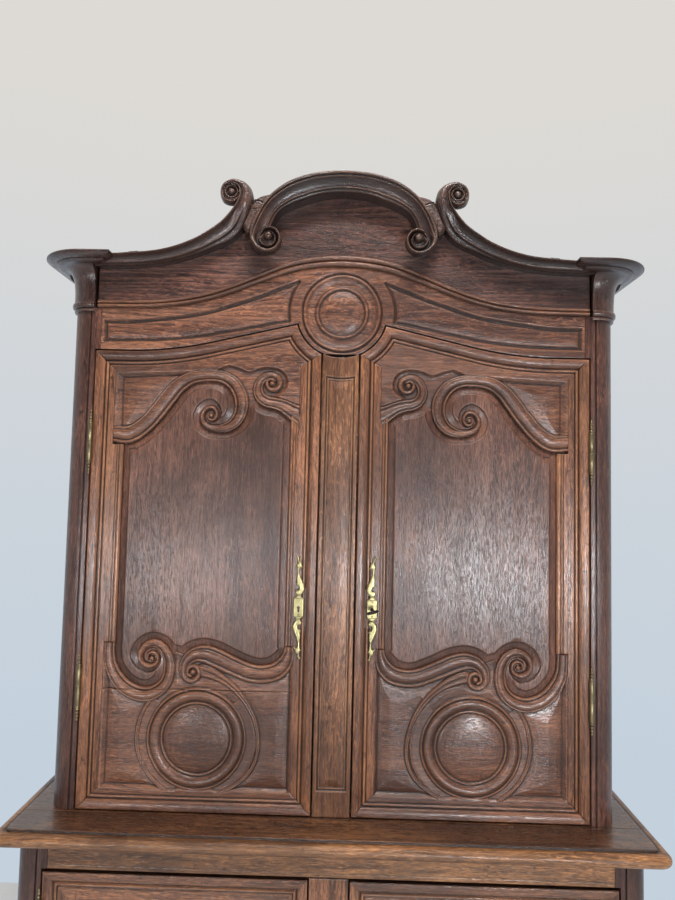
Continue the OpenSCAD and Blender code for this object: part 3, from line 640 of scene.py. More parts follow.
        # hollows and outlines found from cav are darkened towards near black: dirt and painted shade; ridges are
        # lightened towards the worn colour by wear
        hollow = val(nt, "MULTIPLY", val(nt, "SUBTRACT", cv, 0.10), 1.35 * hollow_dirt_and_shade, True)
        ridge = val(nt, "MULTIPLY", val(nt, "SUBTRACT", val(nt, "MULTIPLY", cv, -1.0), 0.12), 1.5 * wear, True)
        wn = noise(nt, vscale(nt, vec, 30, 30, 9), 1.0, 3, 0.6)
        ridge = val(nt, "MULTIPLY", ridge, ramp(nt, wn, [(0.35, 0.25), (0.6, 1.0)]))
        base = mixc(nt, val(nt, "MULTIPLY", ridge, 0.42), base, worn or [min(1, light[0] * 1.1), min(1, light[1] * 1.2), light[2] * 1.3])
        base = mixc(nt, val(nt, "MULTIPLY", hollow, 0.90), base, dim(dark, 0.14))
    nt.links.new(base, bs.inputs["Base Color"])
    rn = val(nt, "ADD", val(nt, "MULTIPLY", noise(nt, vscale(nt, vec, 22, 22, 5), 1.0, 3, 0.6), 0.20), rough - 0.10)
    rn = val(nt, "ADD", rn, val(nt, "MULTIPLY", pore, 0.16))
    if hollow is not None:
        rn = val(nt, "ADD", rn, val(nt, "MULTIPLY", hollow, 0.25))
        rn = val(nt, "SUBTRACT", rn, val(nt, "MULTIPLY", ridge, 0.11))
    nt.links.new(rn, bs.inputs["Roughness"])
    bs.inputs["Coat Weight"].default_value = coat
    bs.inputs["Coat Roughness"].default_value = coat_r
    bs.inputs["Specular IOR Level"].default_value = 0.5
    # surface: pores, fibre, and the slight waves of a hand plane
    hgt = val(nt, "ADD", val(nt, "MULTIPLY", pore, -0.6), val(nt, "ADD", val(nt, "MULTIPLY", medium, 0.08), val(nt, "MULTIPLY", fine, 0.9)))
    b1 = N(nt, "ShaderNodeBump")
    b1.inputs["Strength"].default_value = bump
    b1.inputs["Distance"].default_value = 0.0007
    nt.links.new(hgt, b1.inputs["Height"])
    b2 = N(nt, "ShaderNodeBump")
    b2.inputs["Strength"].default_value = wave
    b2.inputs["Distance"].default_value = 0.0016
    nt.links.new(noise(nt, vscale(nt, gv, 34, 34, 5.5), 1.0, 2, 0.5), b2.inputs["Height"])
    nt.links.new(b1.outputs[0], b2.inputs["Normal"])
    nt.links.new(b2.outputs[0], bs.inputs["Normal"])
    nt.links.new(b2.outputs[0], bs.inputs["Coat Normal"])
    MATS[name] = m
    return m


def metal(name, col, dull, rough=0.3, seed=0.0, use_cav=True):
    m, nt, bs = new_mat(name)
    tc = N(nt, "ShaderNodeTexCoord").outputs["Object"]
    vec = vscale(nt, tc, 1, 1, 1, (seed, seed * 2, seed * 3))
    n1 = noise(nt, vscale(nt, vec, 60, 60, 60), 1.0, 4, 0.6)
    n2 = noise(nt, vscale(nt, vec, 420, 420, 420), 1.0, 3, 0.6)
    base = mixc(nt, ramp(nt, n1, [(0.35, 0.0), (0.7, 0.6)]), col, dull)
    base = mixc(nt, ramp(nt, n2, [(0.55, 0.0), (0.75, 0.45)]), base, dull)
    if use_cav:
        cv = N(nt, "ShaderNodeAttribute", attribute_name="cav").outputs["Fac"]
        base = mixc(nt, val(nt, "MULTIPLY", cv, 1.2, True), base, [c * 0.22 for c in dull])
    nt.links.new(base, bs.inputs["Base Color"])
    bs.inputs["Metallic"].default_value = 1.0
    nt.links.new(val(nt, "ADD", val(nt, "MULTIPLY", n1, 0.3), rough - 0.1), bs.inputs["Roughness"])
    b = N(nt, "ShaderNodeBump")
    b.inputs["Strength"].default_value = 0.35
    b.inputs["Distance"].default_value = 0.0004
    nt.links.new(n1, b.inputs["Height"])
    nt.links.new(b.outputs[0], bs.inputs["Normal"])
    MATS[name] = m
    return m


frame_oak = oak("OakFrame", (0.052, 0.0175, 0.009), (0.182, 0.070, 0.033), (0.345, 0.152, 0.070), rough=0.31, coat=0.45, figure=0.6, streak=0.8, bump=0.45, wave=0.35)
lock_oak = oak("OakCentre", (0.056, 0.020, 0.010), (0.178, 0.074, 0.034), (0.330, 0.155, 0.070), rough=0.33, coat=0.3, figure=0.5, seed=4.4, fleck=0.8, streak=0.7, bump=0.45, wave=0.35)
post_oak = oak("OakPost", (0.026, 0.010, 0.0075), (0.078, 0.031, 0.021), (0.165, 0.068, 0.043), rough=0.31, coat=0.4, figure=0.4, seed=12.2, streak=0.8, bump=0.45)
carved_oak = oak("OakCarved", (0.035, 0.0125, 0.0078), (0.112, 0.043, 0.0235), (0.228, 0.098, 0.050), rough=0.32, coat=0.35, seed=1.3, figure=0.6, streak=0.55, coat_r=0.20, bump=0.35, wave=0.28)
traverse_oak = oak("OakTraverse", (0.030, 0.0105, 0.007), (0.098, 0.037, 0.021), (0.215, 0.090, 0.047), rough=0.34, coat=0.25, seed=8.8, figure=1.3, streak=0.7, fleck=0.9, coat_r=0.22, bump=0.35, wave=0.28)
panel_oak = oak("OakPanel", (0.030, 0.012, 0.008), (0.092, 0.037, 0.024), (0.170, 0.077, 0.049), rough=0.33, coat=0.22, seed=2.7, wave=0.10, bump=0.34, streak=0.5, figure=0.3)
dark_oak = oak("OakDark", (0.013, 0.0060, 0.0050), (0.046, 0.0195, 0.0152), (0.098, 0.046, 0.033), rough=0.29, coat=0.6, seed=3.9, wave=0.3, hollow_dirt_and_shade=0.9, wear=0.9, worn=(0.122, 0.067, 0.041), bump=0.4)
table_oak = oak("OakTable", (0.026, 0.010, 0.006), (0.085, 0.034, 0.016), (0.190, 0.082, 0.034), rough=0.22, coat=0.5, seed=5.1, wear=1.0, wave=0.3, streak=0.9, bump=0.4)
nose_oak = oak("OakNose", (0.065, 0.024, 0.010), (0.228, 0.096, 0.036), (0.42, 0.20, 0.078), rough=0.34, seed=6.3, wear=0.8, streak=0.75, bump=0.45)
frieze_oak = oak("OakFrieze", (0.020, 0.0075, 0.006), (0.062, 0.0235, 0.0165), (0.150, 0.064, 0.043), rough=0.36, coat=0.15, seed=7.7, fleck=0.5, figure=1.8, streak=0.9, bump=0.4)
inside_z = oak("OakInsideZ", (0.10, 0.060, 0.034), (0.185, 0.115, 0.065), (0.27, 0.175, 0.105), rough=0.62, coat=0.0, coords="z", seed=8.1)
inside_x = oak("OakInsideX", (0.10, 0.060, 0.034), (0.185, 0.115, 0.065), (0.27, 0.175, 0.105), rough=0.62, coat=0.0, coords="x", seed=9.2)
inside_y = oak("OakInsideY", (0.10, 0.060, 0.034), (0.185, 0.115, 0.065), (0.27, 0.175, 0.105), rough=0.62, coat=0.0, coords="y", seed=9.9)
outer_z = oak("OakOuterZ", (0.045, 0.019, 0.011), (0.115, 0.048, 0.024), (0.20, 0.088, 0.040), rough=0.36, coords="z", seed=10.4)
outer_y = oak("OakOuterY", (0.045, 0.019, 0.011), (0.115, 0.048, 0.024), (0.20, 0.088, 0.040), rough=0.36, coords="y", seed=11.6)
brass = metal("Brass", (0.56, 0.49, 0.25), (0.20, 0.17, 0.08), rough=0.33, seed=1.0)
hinge_brass = metal("BrassAged", (0.33, 0.27, 0.15), (0.10, 0.08, 0.048), rough=0.38, seed=1.6)
iron = metal("Iron", (0.10, 0.085, 0.075), (0.035, 0.026, 0.022), rough=0.42, seed=2.0)
iron_cad = metal("IronPlain", (0.12, 0.10, 0.09), (0.05, 0.035, 0.028), rough=0.45, seed=3.0, use_cav=False)


# ------------------------------------------------------------------ lines of the front
def rise(x):
    t = np.maximum(0, 510 - np.abs(x))
    return np.where(t < 200, t * t / 400, t - 100)


def door_top(x):
    return 1075 + 0.235 * rise(x)


BT = crom([(594.5, 1197), (550, 1197.5), (500, 1198), (450, 1200.5), (400, 1205.5), (350, 1214.5), (300, 1229), (250, 1248), (200, 1270), (160, 1288), (120, 1301), (80, 1310), (40, 1315), (0, 1317)], 6)
BB = crom([(594.5, 1179), (550, 1179.5), (500, 1180), (450, 1182), (400, 1187), (350, 1195.5), (300, 1209), (250, 1227), (200, 1247), (160, 1262), (120, 1275), (80, 1283), (40, 1288), (0, 1289.5)], 6)


def bt(x):
    return np.interp(np.abs(x), BT[::-1, 0], BT[::-1, 1])


def bb_(x):
    return np.interp(np.abs(x), BB[::-1, 0], BB[::-1, 1])


# moulding round a door, by the distance from its edge
M_FRAME = table([(0, -1.7), (0.8, -0.6), (2, -0.05), (9, 0), (12, -0.3), (15, -1.1), (18, -2.6), (20.5, -4.4), (22.3, -7.2), (23, -10.4),
                 (24.8, -10.4), (25.6, -6.4), (26.8, -4.7), (28.5, -4.1), (30.4, -4.7), (31.4, -6.2), (32.1, -9.8), (33.8, -9.8),
                 (34.4, -5.5), (36, -5.0), (70, -5.0)], 0.45)
M_STRIP_H = table([(-3, -12), (0, -12), (0.8, -9.5), (1.6, -7.2), (3, -5.6), (5.5, -4.2), (8, -4.4), (10, -5.8), (11.2, -7.9), (12.2, -7.9),
                   (12.8, -5.4), (14.4, -5.2), (15, -7.9), (16.2, -7.9), (17, -5.2), (19, -5.0), (30, -5.0)], 0.4)
M_STRIP_L = table([(-3, -12), (0, -12), (0.8, -9), (1.8, -6.2), (4, -4.3), (6.5, -5.2), (8, -7.6), (8.8, -7.8), (9.6, -5.6), (12.2, -5.4),
                   (12.8, -7.6), (13.8, -7.6), (14.6, -5.1), (16, -5.0), (30, -5.0)], 0.4)
BEVEL = table([(0, -5), (0.8, -5.4), (3, -6.6), (8.5, -11.2), (9.8, -13.6), (11, -13.6), (12.5, -12.2), (18, -10.8), (32, -9.0), (60, -8.3)], 0.5)
CUT = table([(-2, -5), (0, -5.1), (0.8, -5.8), (3.6, -9.6), (7, -12.2), (10, -13), (60, -13)], 0.5)
GROUND = table([(0, -5), (0.8, -5.3), (2, -6.2), (7, -11.2), (8, -12.6), (9.2, -12.6), (11, -11.4), (18, -9.8), (34, -8.2), (70, -7.6)], 0.5)
SCROLL = table([(0, -12.5), (0.03, -7), (0.065, -4.4), (0.10, -4.0), (0.14, -5.0), (0.158, -6.8), (0.175, -5.0), (0.24, -3.2), (0.36, -2.4), (0.5, -3.0),
                (0.62, -4.6), (0.70, -7.0), (0.745, -9.6), (0.78, -8.6), (0.81, -5.0), (0.86, -4.0), (0.91, -5.0), (0.94, -7.0), (0.97, -10), (1.0, -12)], 0.012)
SCROLL_S = table([(0, -12), (0.07, -7), (0.2, -4.4), (0.38, -3.0), (0.55, -3.4), (0.72, -5.4), (0.88, -8.6), (1.0, -11)], 0.03)
ARM = table([(0, -12.5), (0.035, -7), (0.08, -4.6), (0.14, -4.8), (0.18, -7.0), (0.215, -7.0), (0.25, -4.6), (0.36, -3.0), (0.50, -2.8), (0.62, -4.2),
             (0.72, -6.8), (0.76, -8.6), (0.80, -7.2), (0.85, -4.8), (0.91, -5.4), (0.96, -8.5), (1.0, -11.5)], 0.012)
CIRCLE = table([(0, -1.6), (20, -1.9), (40, -3.0), (58, -5.0), (70, -7.2), (75.4, -8.6), (77, -11.4), (78.6, -11.4), (79.6, -8.2), (81.4, -6.8), (83.2, -8.0), (84.2, -10.6), (85.6, -10.4), (87.4, -8.0),
                (91, -5.0), (95, -3.2), (99, -2.5), (102.5, -2.7), (105.6, -4.2), (107.8, -6.8), (109.2, -10.4), (110.8, -10.4), (111.8, -6.8), (113.6, -5.6), (115.4, -6.8), (116.6, -9.6), (118, -9.6), (124, -9.2), (134, -8.2),
                (137, -8.6), (160, -8.6)], 0.6)
PANEL = table([(-60, -16.5), (-3, -16.5), (-1.5, -15), (0, -12.6), (1.2, -12.0), (4, -11.2), (10, -9.2), (15.2, -7.2), (16, -7.0), (16.8, -4.6), (18, -4.1), (400, -4.0)], 0.45)

S1 = [(-566, 873, 20), (-540, 873, 20), (-503, 873, 22), (-467, 897, 21), (-438, 931, 21), (-412, 966, 21), (-388, 994, 19), (-358, 1013, 16.5), (-320, 1019, 14.5),
      (-285, 1016, 15), (-257, 1000, 16.5), (-240, 973, 17.5), (-236, 945, 17), (-244, 918, 15.5), (-261, 900, 13), (-284, 892.5, 10), (-307, 894, 8.5),
      (-323.5, 903, 7.5), (-330, 918, 6.8), (-327, 932, 6.2), (-317, 940.5, 5.8), (-305.5, 941, 5.3), (-298, 934, 5), (-295.5, 925, 4.7), (-298.5, 916.5, 4.5),
      (-305, 912.5, 4.2), (-312, 914, 4), (-315.5, 920, 3.6), (-313.5, 926, 3.4)]
S1_EYE = (-308.5, 923, 5.6)
S2 = [(-70, 928, 25), (-97, 930, 24), (-115, 938, 20), (-135, 949, 16.5), (-156, 955, 14.5), (-176, 959, 14), (-190, 969, 13), (-196.5, 985, 12), (-193.5, 1003, 11),
      (-182, 1017.5, 10), (-165, 1022, 9), (-150, 1015, 8), (-145.5, 1001, 7), (-152.5, 990, 6.4), (-165, 988.5, 5.8), (-174, 996, 5.2), (-174.5, 1007, 4.8), (-167, 1013, 4.4),
      (-159, 1009.5, 4.0)]
S2_EYE = (-163.5, 1003, 5.4)
HP_TOP = [(-566, 873), (-540, 873), (-503, 873), (-467, 897), (-438, 931), (-412, 966), (-388, 994), (-358, 1013), (-320, 1019), (-285, 1016), (-257, 1000), (-240, 973),
          (-236, 945), (-216, 950), (-200, 962), (-176, 959), (-156, 955), (-135, 949), (-115, 938), (-97, 930), (-60, 928), (-60, 640), (-566, 640)]
REC_TOP = [(-300, 1034.5), (-285, 1041), (-270, 1047), (-246, 1041), (-222, 1031), (-212, 1033), (-200, 1039), (-183, 1043.5), (-166, 1044), (-150, 1041), (-137, 1034),
           (-128, 1023), (-123.5, 1006), (-126, 992), (-135, 981), (-148, 972.5), (-138, 968), (-120, 960.5), (-104, 953.5), (-92, 951), (-92, 930), (-150, 940), (-205, 940),
           (-235, 925), (-270, 960), (-310, 1010)]
A1 = [(-529, 430, 13), (-529, 388, 13), (-529, 360, 13), (-525, 330, 14.5), (-512, 303, 17), (-492, 281, 18), (-466, 267, 18), (-438, 264, 17.5), (-411, 275, 16),
      (-393.5, 295, 14.5), (-387, 322, 13.5), (-389.5, 349, 12.5), (-402, 371, 11), (-423, 381.5, 10), (-443, 375, 8.5), (-454.5, 360, 7.6), (-455, 345, 6.8), (-446, 333.5, 6.2),
      (-432.5, 330, 5.6), (-419.5, 335, 5.2), (-413.5, 346, 4.8), (-417, 357, 4.4), (-427, 361, 4.0), (-435.5, 356, 3.8), (-437, 347.5, 3.4)]
A1_EYE = (-427.5, 347, 6)
B1 = [(-107, 430, 10), (-107, 388, 10), (-108, 362, 14), (-118, 340, 19), (-138, 323, 21), (-168, 316, 21), (-196, 318, 21.5), (-224, 328, 21.5), (-250, 339, 22),
      (-277, 351, 22.5), (-303, 359, 20.5), (-327, 357, 17), (-345, 343, 14), (-352, 324, 11), (-348, 307.5, 9), (-336, 299.5, 7.6), (-322, 303, 6.6), (-315.5, 315, 6), (-319.5, 327, 5.4),
      (-330.5, 331.5, 5), (-340, 325, 4.6), (-341, 314.5, 4.2), (-334, 309.5, 3.8)]
B1_EYE = (-329.5, 318, 5.6)
C1 = [(-306, 322, 16), (-295, 319, 16), (-273, 310, 13), (-249, 296, 10), (-226, 277, 8.5), (-204, 251, 7), (-187.5, 222, 6), (-177.5, 192, 5.3), (-172.5, 160, 5), (-174.5, 130, 4.8),
      (-184.5, 103, 4.6), (-203, 79, 4.4), (-229, 60, 4.2), (-262, 43, 4)]
D1 = [(-424, 256, 4.5), (-437, 238, 4.6), (-449, 212, 4.8), (-455.5, 183, 5), (-456, 155, 5), (-450, 125, 5), (-437, 97, 4.8), (-417, 72, 4.6), (-386, 47, 4.4), (-372, 38, 4.2)]
HP_BOT = [(-566, 384), (-529, 384), (-529, 360), (-525, 330), (-512, 303), (-492, 281), (-466, 267), (-438, 264), (-411, 275), (-393.5, 295), (-387, 322), (-388, 346), (-372, 364), (-345, 356),
          (-327, 357), (-303, 359), (-277, 351), (-250, 339), (-224, 328), (-196, 318), (-168, 316), (-138, 323), (-118, 340), (-108, 362), (-107, 386), (-60, 386), (-60, 640), (-566, 640)]
BEAD2 = table([(0, -12), (0.1, -7.5), (0.24, -4.9), (0.4, -5.4), (0.5, -8.0), (0.6, -5.4), (0.76, -4.9), (0.9, -7.5), (1.0, -11.5)], 0.03)


class Door:
    """The upper door as heights over the front plane, in the coordinates of the left one (x negative)."""

    def __init__(self, x, z, side):
        X, Z = np.meshgrid(x, z)
        self.seed = 11 if side < 0 else 29
        X = X if side < 0 else -X
        self.side = side
        wx = X + 0.9 * wob(X, Z, self.seed, 46)
        wz = Z + 0.9 * wob(X, Z, self.seed + 1, 46)
        self.X, self.Z, self.wx, self.wz = X, Z, wx, wz
        self.sl, self.st, self.sb = X + 591.5, door_top(X) - Z, Z - 2
        self.sk, self.sa = -47 - X, np.hypot(X, Z - 1177) - 111
        self.Fd = np.minimum.reduce([self.sl, self.st, self.sb, self.sk, self.sa])
        self.M = M_FRAME(np.clip(self.Fd, 0, 69))
        mirror = x[0] > 0
        self.flip = mirror

    def band(self, path, sign):
        """ribbon() wants rising x, so the right door is searched on a turned grid."""
        if self.flip:
            V, W, S = ribbon(self.wx[:, ::-1], self.wz[:, ::-1], path, sign)
            return V[:, ::-1], W[:, ::-1], S[:, ::-1]
        return ribbon(self.wx, self.wz, path, sign)

    def disc(self, e):
        return e[2] - np.hypot(self.wx - e[0], self.wz - e[1])

    @staticmethod
    def band_h(V, W, big, small, s0=7.5, s1=13):
        Tn = np.clip((1 - V) / 2, 0, 1)
        k = smooth(s0, s1, W)
        return big(Tn) * k + small(Tn) * (1 - k)

    def eye(self, H, e, F):
        d = self.disc(e)
        r = e[2] - d
        dome = -9.5 + 6.5 * np.sqrt(np.clip(1 - (r / (e[2] + 0.4)) ** 2, 0, 1))
        return np.where(d > -0.4, np.maximum(dome, -9.5), H), np.maximum(F, d)

    def top(self):
        X, Z, wx, wz = self.X, self.Z, self.wx, self.wz
        V1, W1, _ = self.band(S1, 1)
        V2, W2, _ = self.band(S2, 1)
        q1, q2 = (np.abs(V1) - 1) * W1, (np.abs(V2) - 1) * W2
        H = self.M.copy()
        deep = self.Fd > 36
        topz = 1021 + (wx + 541) * 0.055
        e1 = np.minimum((wx + 541) * 0.66, topz - wz)
        e1 = np.minimum(e1, 10.2 + np.clip(q1, 0, 60) * 0.8)
        field = (e1 > 0) & (q1 > 0) & (wx < -366) & (V1 > 0) & (Z > 850)
        H = np.where(field, BEVEL(np.clip(e1, 0, 60)), H)
        e2 = sdpoly(wx, wz, REC_TOP, 40)
        lower = CUT(np.clip(e2, -2, 60))
        H = np.where((e2 > -1.9) & deep, np.minimum(H, lower), H)
        in1, in2 = q1 < 0, q2 < 0
        H = np.where(in2, self.band_h(V2, W2, ARM, SCROLL_S), H)
        H = np.where(in1, self.band_h(V1, W1, SCROLL, SCROLL_S), H)
        F = np.maximum(-sdpoly(wx, wz, HP_TOP, 60), np.maximum(-q1, -q2))
        H, F = self.eye(H, S1_EYE, F)
        H, F = self.eye(H, S2_EYE, F)
        F = np.minimum.reduce([F, self.sl - np.minimum(self.st, 48.5) - 0.2, self.sk - np.minimum(np.minimum(self.sa, self.st), 50) - 0.2, self.Fd])
        F = np.minimum(F, Z - 840)
        return F, self.finish(H, F)

    def bottom(self):
        X, Z, wx, wz = self.X, self.Z, self.wx, self.wz
        A, WA, _ = self.band(A1, -1)
        B, WB, _ = self.band(B1, -1)
        Cc, WC, _ = self.band(C1, 1)
        D, WD, _ = self.band(D1, 1)
        qa, qb, qc, qd = [(np.abs(v) - 1) * w for v, w in ((A, WA), (B, WB), (Cc, WC), (D, WD))]
        H = self.M.copy()
        cx0 = -317 if self.side < 0 else -320
        cz0 = 165 if self.side < 0 else 163
        r = np.hypot(wx - cx0, wz - cz0)
        ang = np.degrees(np.arctan2(wz - cz0, wx - cx0)) % 360
        e = np.minimum.reduce([(wx + 541) * 0.8, -97 - wx, wz - 49.5])
        e = np.minimum(e, 9.5 + np.clip(np.minimum(qa, qb), 0, 60) * 0.75)
        side_ring = ((ang > 138) & (ang < 250)) | (ang > 290) | (ang < 44)
        rr = np.where(side_ring, r - 144, r - 117)
        e = np.minimum(e, 9.5 + np.clip(rr, 0, 60) * 0.6)
        H = np.where(e > 0, GROUND(np.clip(e, 0, 70)), H)
        inner = r < np.where(side_ring, 140, 117.5)
        ring = CIRCLE(np.clip(r, 0, 160))
        H = np.where(inner & (wz > 44), np.where(wz > 50.5, ring, np.maximum(ring, H - smooth(44, 50.5, wz) * 1.0)), H)
        for v, w, q, f in ((D, WD, qd, BEAD2), (Cc, WC, qc, BEAD2)):
            H = np.where((q < 0) & (wz > 47), f(np.clip((1 - v) / 2, 0, 1)), H)
        H = np.where(qb < 0, self.band_h(B, WB, ARM, SCROLL_S), H)
        H = np.where(qa < 0, self.band_h(A, WA, SCROLL, SCROLL_S), H)
        F = np.maximum(-sdpoly(wx, wz, HP_BOT, 60), np.maximum(-qa, -qb))
        H, F = self.eye(H, A1_EYE, F)
        H, F = self.eye(H, B1_EYE, F)
        F = np.minimum.reduce([F, self.sl - np.minimum(self.sb, 48.5) - 0.2, self.sk - np.minimum(self.sb, 50) - 0.2, self.Fd, 381.5 - Z + np.where((X > -516.5) & (X < -117.5), 60, 0)])
        if self.side < 0:
            H = H - 3.4 * np.exp(-((Z - 275.5 - 0.004 * (X + 320)) / 1.0) ** 2) * (X > -541) * (X < -97)
        return F, self.finish(H, F)

    def stiles(self):
        X, Z = self.X, self.Z
        fh = np.minimum.reduce([self.Fd, np.minimum(np.minimum(self.st, self.sb), 48.5) - self.sl])
        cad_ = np.minimum.reduce([self.Fd, np.minimum.reduce([self.sa, self.sb, self.st, np.full(X.shape, 50.0)]) - self.sk])
        s1 = np.minimum.reduce([X + 545, -516 - X, Z - 382.5, 849 - Z])
        s2 = np.minimum.reduce([X + 117.5, -95 - X, Z - 382.5, 926 - Z])
        F = np.maximum.reduce([fh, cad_, s1, s2])
        H = self.M.copy()
        H = np.where((X > -544) & (X < -500) & (s1 > -3), M_STRIP_H(np.clip(-516 - X, -3, 30)), H)
        H = np.where((X > -120) & (X < -96) & (s2 > -3), M_STRIP_L(np.clip(X + 117.5, -3, 30)), H)
        return F, self.finish(H, F)

    def finish(self, H, F):
        H = H - 1.0 * np.exp(-np.clip(F, 0, 50) / 0.7)
        return H + 0.16 * wob(self.X * 1.0, self.Z * 1.0, self.seed + 5, 30)

    def frame_f(self):
        """How far inside the frame a point is, for the panel's bevel."""
        wx, wz, X, Z = self.wx, self.wz, self.X, self.Z
        out = []
        for path, sg in ((S1, 1), (S2, 1), (A1, -1), (B1, -1)):
            V, W, _ = self.band(path, sg)
            out.append(-(np.abs(V) - 1) * W)
        out.append(np.where(Z > 640, -sdpoly(wx, wz, HP_TOP[:-2] + [(-60, 300), (-566, 300)], 80), -80))
        out.append(np.where(Z <= 640, -sdpoly(wx, wz, HP_BOT[:-2] + [(-60, 1000), (-566, 1000)], 80), -80))
        out.append(np.where((Z > 380) & (Z < 851), -516 - X, -80))
        out.append(np.where((Z > 380) & (Z < 930), X + 117.5, -80))
        out += [self.disc(e) for e in (S1_EYE, S2_EYE, A1_EYE, B1_EYE)]
        return np.maximum.reduce(out)


def plug(F):
    """Closes a gap of a few grid points with wood all around it."""
    ins = np.pad(F > 0, 3)
    nz, nx = F.shape
    ring = np.ones(F.shape, bool)
    for j in range(7):
        for i in range(7):
            if j in (0, 6) or i in (0, 6):
                ring &= ins[j:j + nz, i:i + nx]
    return np.where((F <= 0) & ring, 0.2, F)


def both_x(side, a):
    return a if side < 0 else -a[::-1]


def build_door(side):
    nm = "left" if side < 0 else "right"
    body = nm + "_door"
    o = 0.4 if side < 0 else 1.9
    # stiles
    zz = axis((0.8, 58, 1.25), (58, 376, 6), (376, 388, 1.2), (388, 843, 6), (843, 855, 1.2), (855, 918, 6), (918, 930, 1.2), (930, 1010, 5), (1010, 1160, 1.25))
    parts = []
    for k, (a, b) in enumerate(((-593, -514), (-119.5, -45.8))):
        xx = both_x(side, axis((a, b, 1.15)))
        d = Door(xx, zz, side)
        F, H = d.stiles()
        parts.append(relief(xx, zz + T, F, H, yU, yU + 27, "z", (o + k, 0.3, 0.2 + k)))
    make(nm + "_door_stile_mouldings", parts, frame_oak, body, [nm + "_door_stiles"])
    # carved rails
    xx = both_x(side, axis((-594, -45.5, 1.25)))
    zz = axis((838, 1180, 1.25))
    F, H = Door(xx, zz, side).top()
    make(nm + "_door_carved_top", [relief(xx, zz + T, plug(F), H, yU, yU + 27, "x", (o, 0.7, 0.1))], carved_oak, body, [nm + "_door_top_rail"])
    zz = axis((0.5, 398, 1.32))
    xx = both_x(side, axis((-593, -45, 1.32)))
    F, H = Door(xx, zz, side).bottom()
    make(nm + "_door_carved_bottom", [relief(xx, zz + T, plug(F), H, yU, yU + 27, "x", (o + 0.3, 0.2, 0.6))], carved_oak, body, [nm + "_door_bottom_rail"])
    # panel
    xx = both_x(side, axis((-534.8, -105.2, 1.5)))
    zz = axis((256.2, 410, 1.5), (410, 840, 8), (840, 1011.8, 1.5))
    d = Door(xx, zz, side)
    Fp = np.minimum.reduce([d.X + 535, -105 - d.X, d.Z - 256, 1012 - d.Z]) + 0.0 * d.X
    Hp = PANEL(np.clip(-d.frame_f(), -60, 400)) + 0.22 * wob(d.X, d.Z, d.seed + 9, 60)
    make(nm + "_door_fielded_panel", [relief(xx, zz + T, Fp, Hp, yU, yU + 21, "z", (o, 0.9, 0.4))], panel_oak, body, [nm + "_door_panel"])


for sd in (-1, 1):
    build_door(sd)


# ------------------------------------------------------------------ traverse, bead, frieze board, centre post
x = axis((-583, 583, 1.42))
z = axis((1076, 1292, 1.42))
X, Z = np.meshgrid(x, z)
R = np.hypot(X, Z - 1177)
ax_ = np.abs(X)
low = np.where(ax_ > 100, door_top(ax_) + 3, 1152)
F = np.minimum.reduce([581.7 - ax_, Z - low, bb_(X) - Z])
F = np.maximum(F, np.minimum(108 - R, bb_(X) - Z))
top_line = crom([(575, 1150), (500, 1151), (440, 1158), (400, 1163), (340, 1173), (300, 1183), (260, 1196), (200, 1217), (160, 1234), (120, 1249), (104, 1256)], 4)
bot_line = crom([(575, 1096), (500, 1097), (440, 1099), (400, 1102), (360, 1106), (320, 1112), (300, 1117), (260, 1124), (200, 1136), (160, 1145), (125, 1151)], 4)
arc = [(124 * math.cos(t), 1177 + 124 * math.sin(t)) for t in np.linspace(math.radians(-10), math.radians(37), 12)]
poly = np.vstack([top_line, arc[::-1], bot_line[::-1]])
FIELD = table([(-30, 0), (-1.8, 0), (-0.6, -0.7), (0.6, -2.6), (2.4, -5.0), (4.4, -6.6), (6.4, -7.0), (7.6, -6.9), (8.6, -5.0), (9.8, -4.2), (13, -3.2), (20, -2.4), (30, -2.2), (200, -2.2)], 0.5)
BOSS = table([(0, 2.2), (24, 1.6), (40, -0.2), (50, -3.2), (54, -5.4), (56.5, -4.6), (58.4, -1.4), (60, -0.8), (61.6, -1.8), (63.4, -5.0), (66, -6.6),
              (74, -6.6), (82, -4.6), (86, -2.4), (88.5, 0.4), (90.5, 1.0), (92.5, 0.2), (94.2, -4.2), (96.4, -5.4), (98.2, -2.4), (100, -0.9), (103, -0.3), (108, 0), (114, 0)], 0.6)
e = sdpoly(ax_ + 0.7 * wob(X, Z, 51, 50), Z + 0.7 * wob(X, Z, 52, 50), poly, 40)
H = np.where(R > 114, FIELD(np.clip(e, -30, 200)), BOSS(np.clip(R + 0.5 * wob(X, Z, 55, 30), 0, 114)))
H = H - 1.0 * np.exp(-np.clip(F, 0, 50) / 0.8) + 0.15 * wob(X, Z, 53, 40)
tr = relief(x, z + T, F, H, yU, yU + 30, "x", (0.3, 0.4, 0.15))
# the turned boss shows rings of the tree
make("upper_traverse_carved", [tr], traverse_oak, "root", ["upper_traverse"])

bead_path = []
for q in np.linspace(-590, 590, 61):
    bead_path.append((q, (bt(q) + bb_(q)) / 2, (bt(q) - bb_(q)) / 2 * 0.985))
BEADS = [(1, 0.5), (0.97, 3.2), (0.9, 5.0), (0.78, 6.6), (0.62, 7.6), (0.48, 7.8), (0.34, 7.3), (0.2, 5.9), (0.09, 3.8), (0.03, 1.2), (-0.03, 1.2), (-0.09, 3.6), (-0.2, 5.6), (-0.34, 6.9),
         (-0.48, 7.3), (-0.62, 7.0), (-0.78, 5.9), (-0.9, 4.2), (-0.97, 2.4), (-1, -0.5)]
bd = ribbon_solid(bead_path, lambda s, p: BEADS, -20, n=3, off=(0.2, 0.3, 0.7))
make("curved_double_bead", [bd], carved_oak, "root", ["curved_bead"], angle=50)

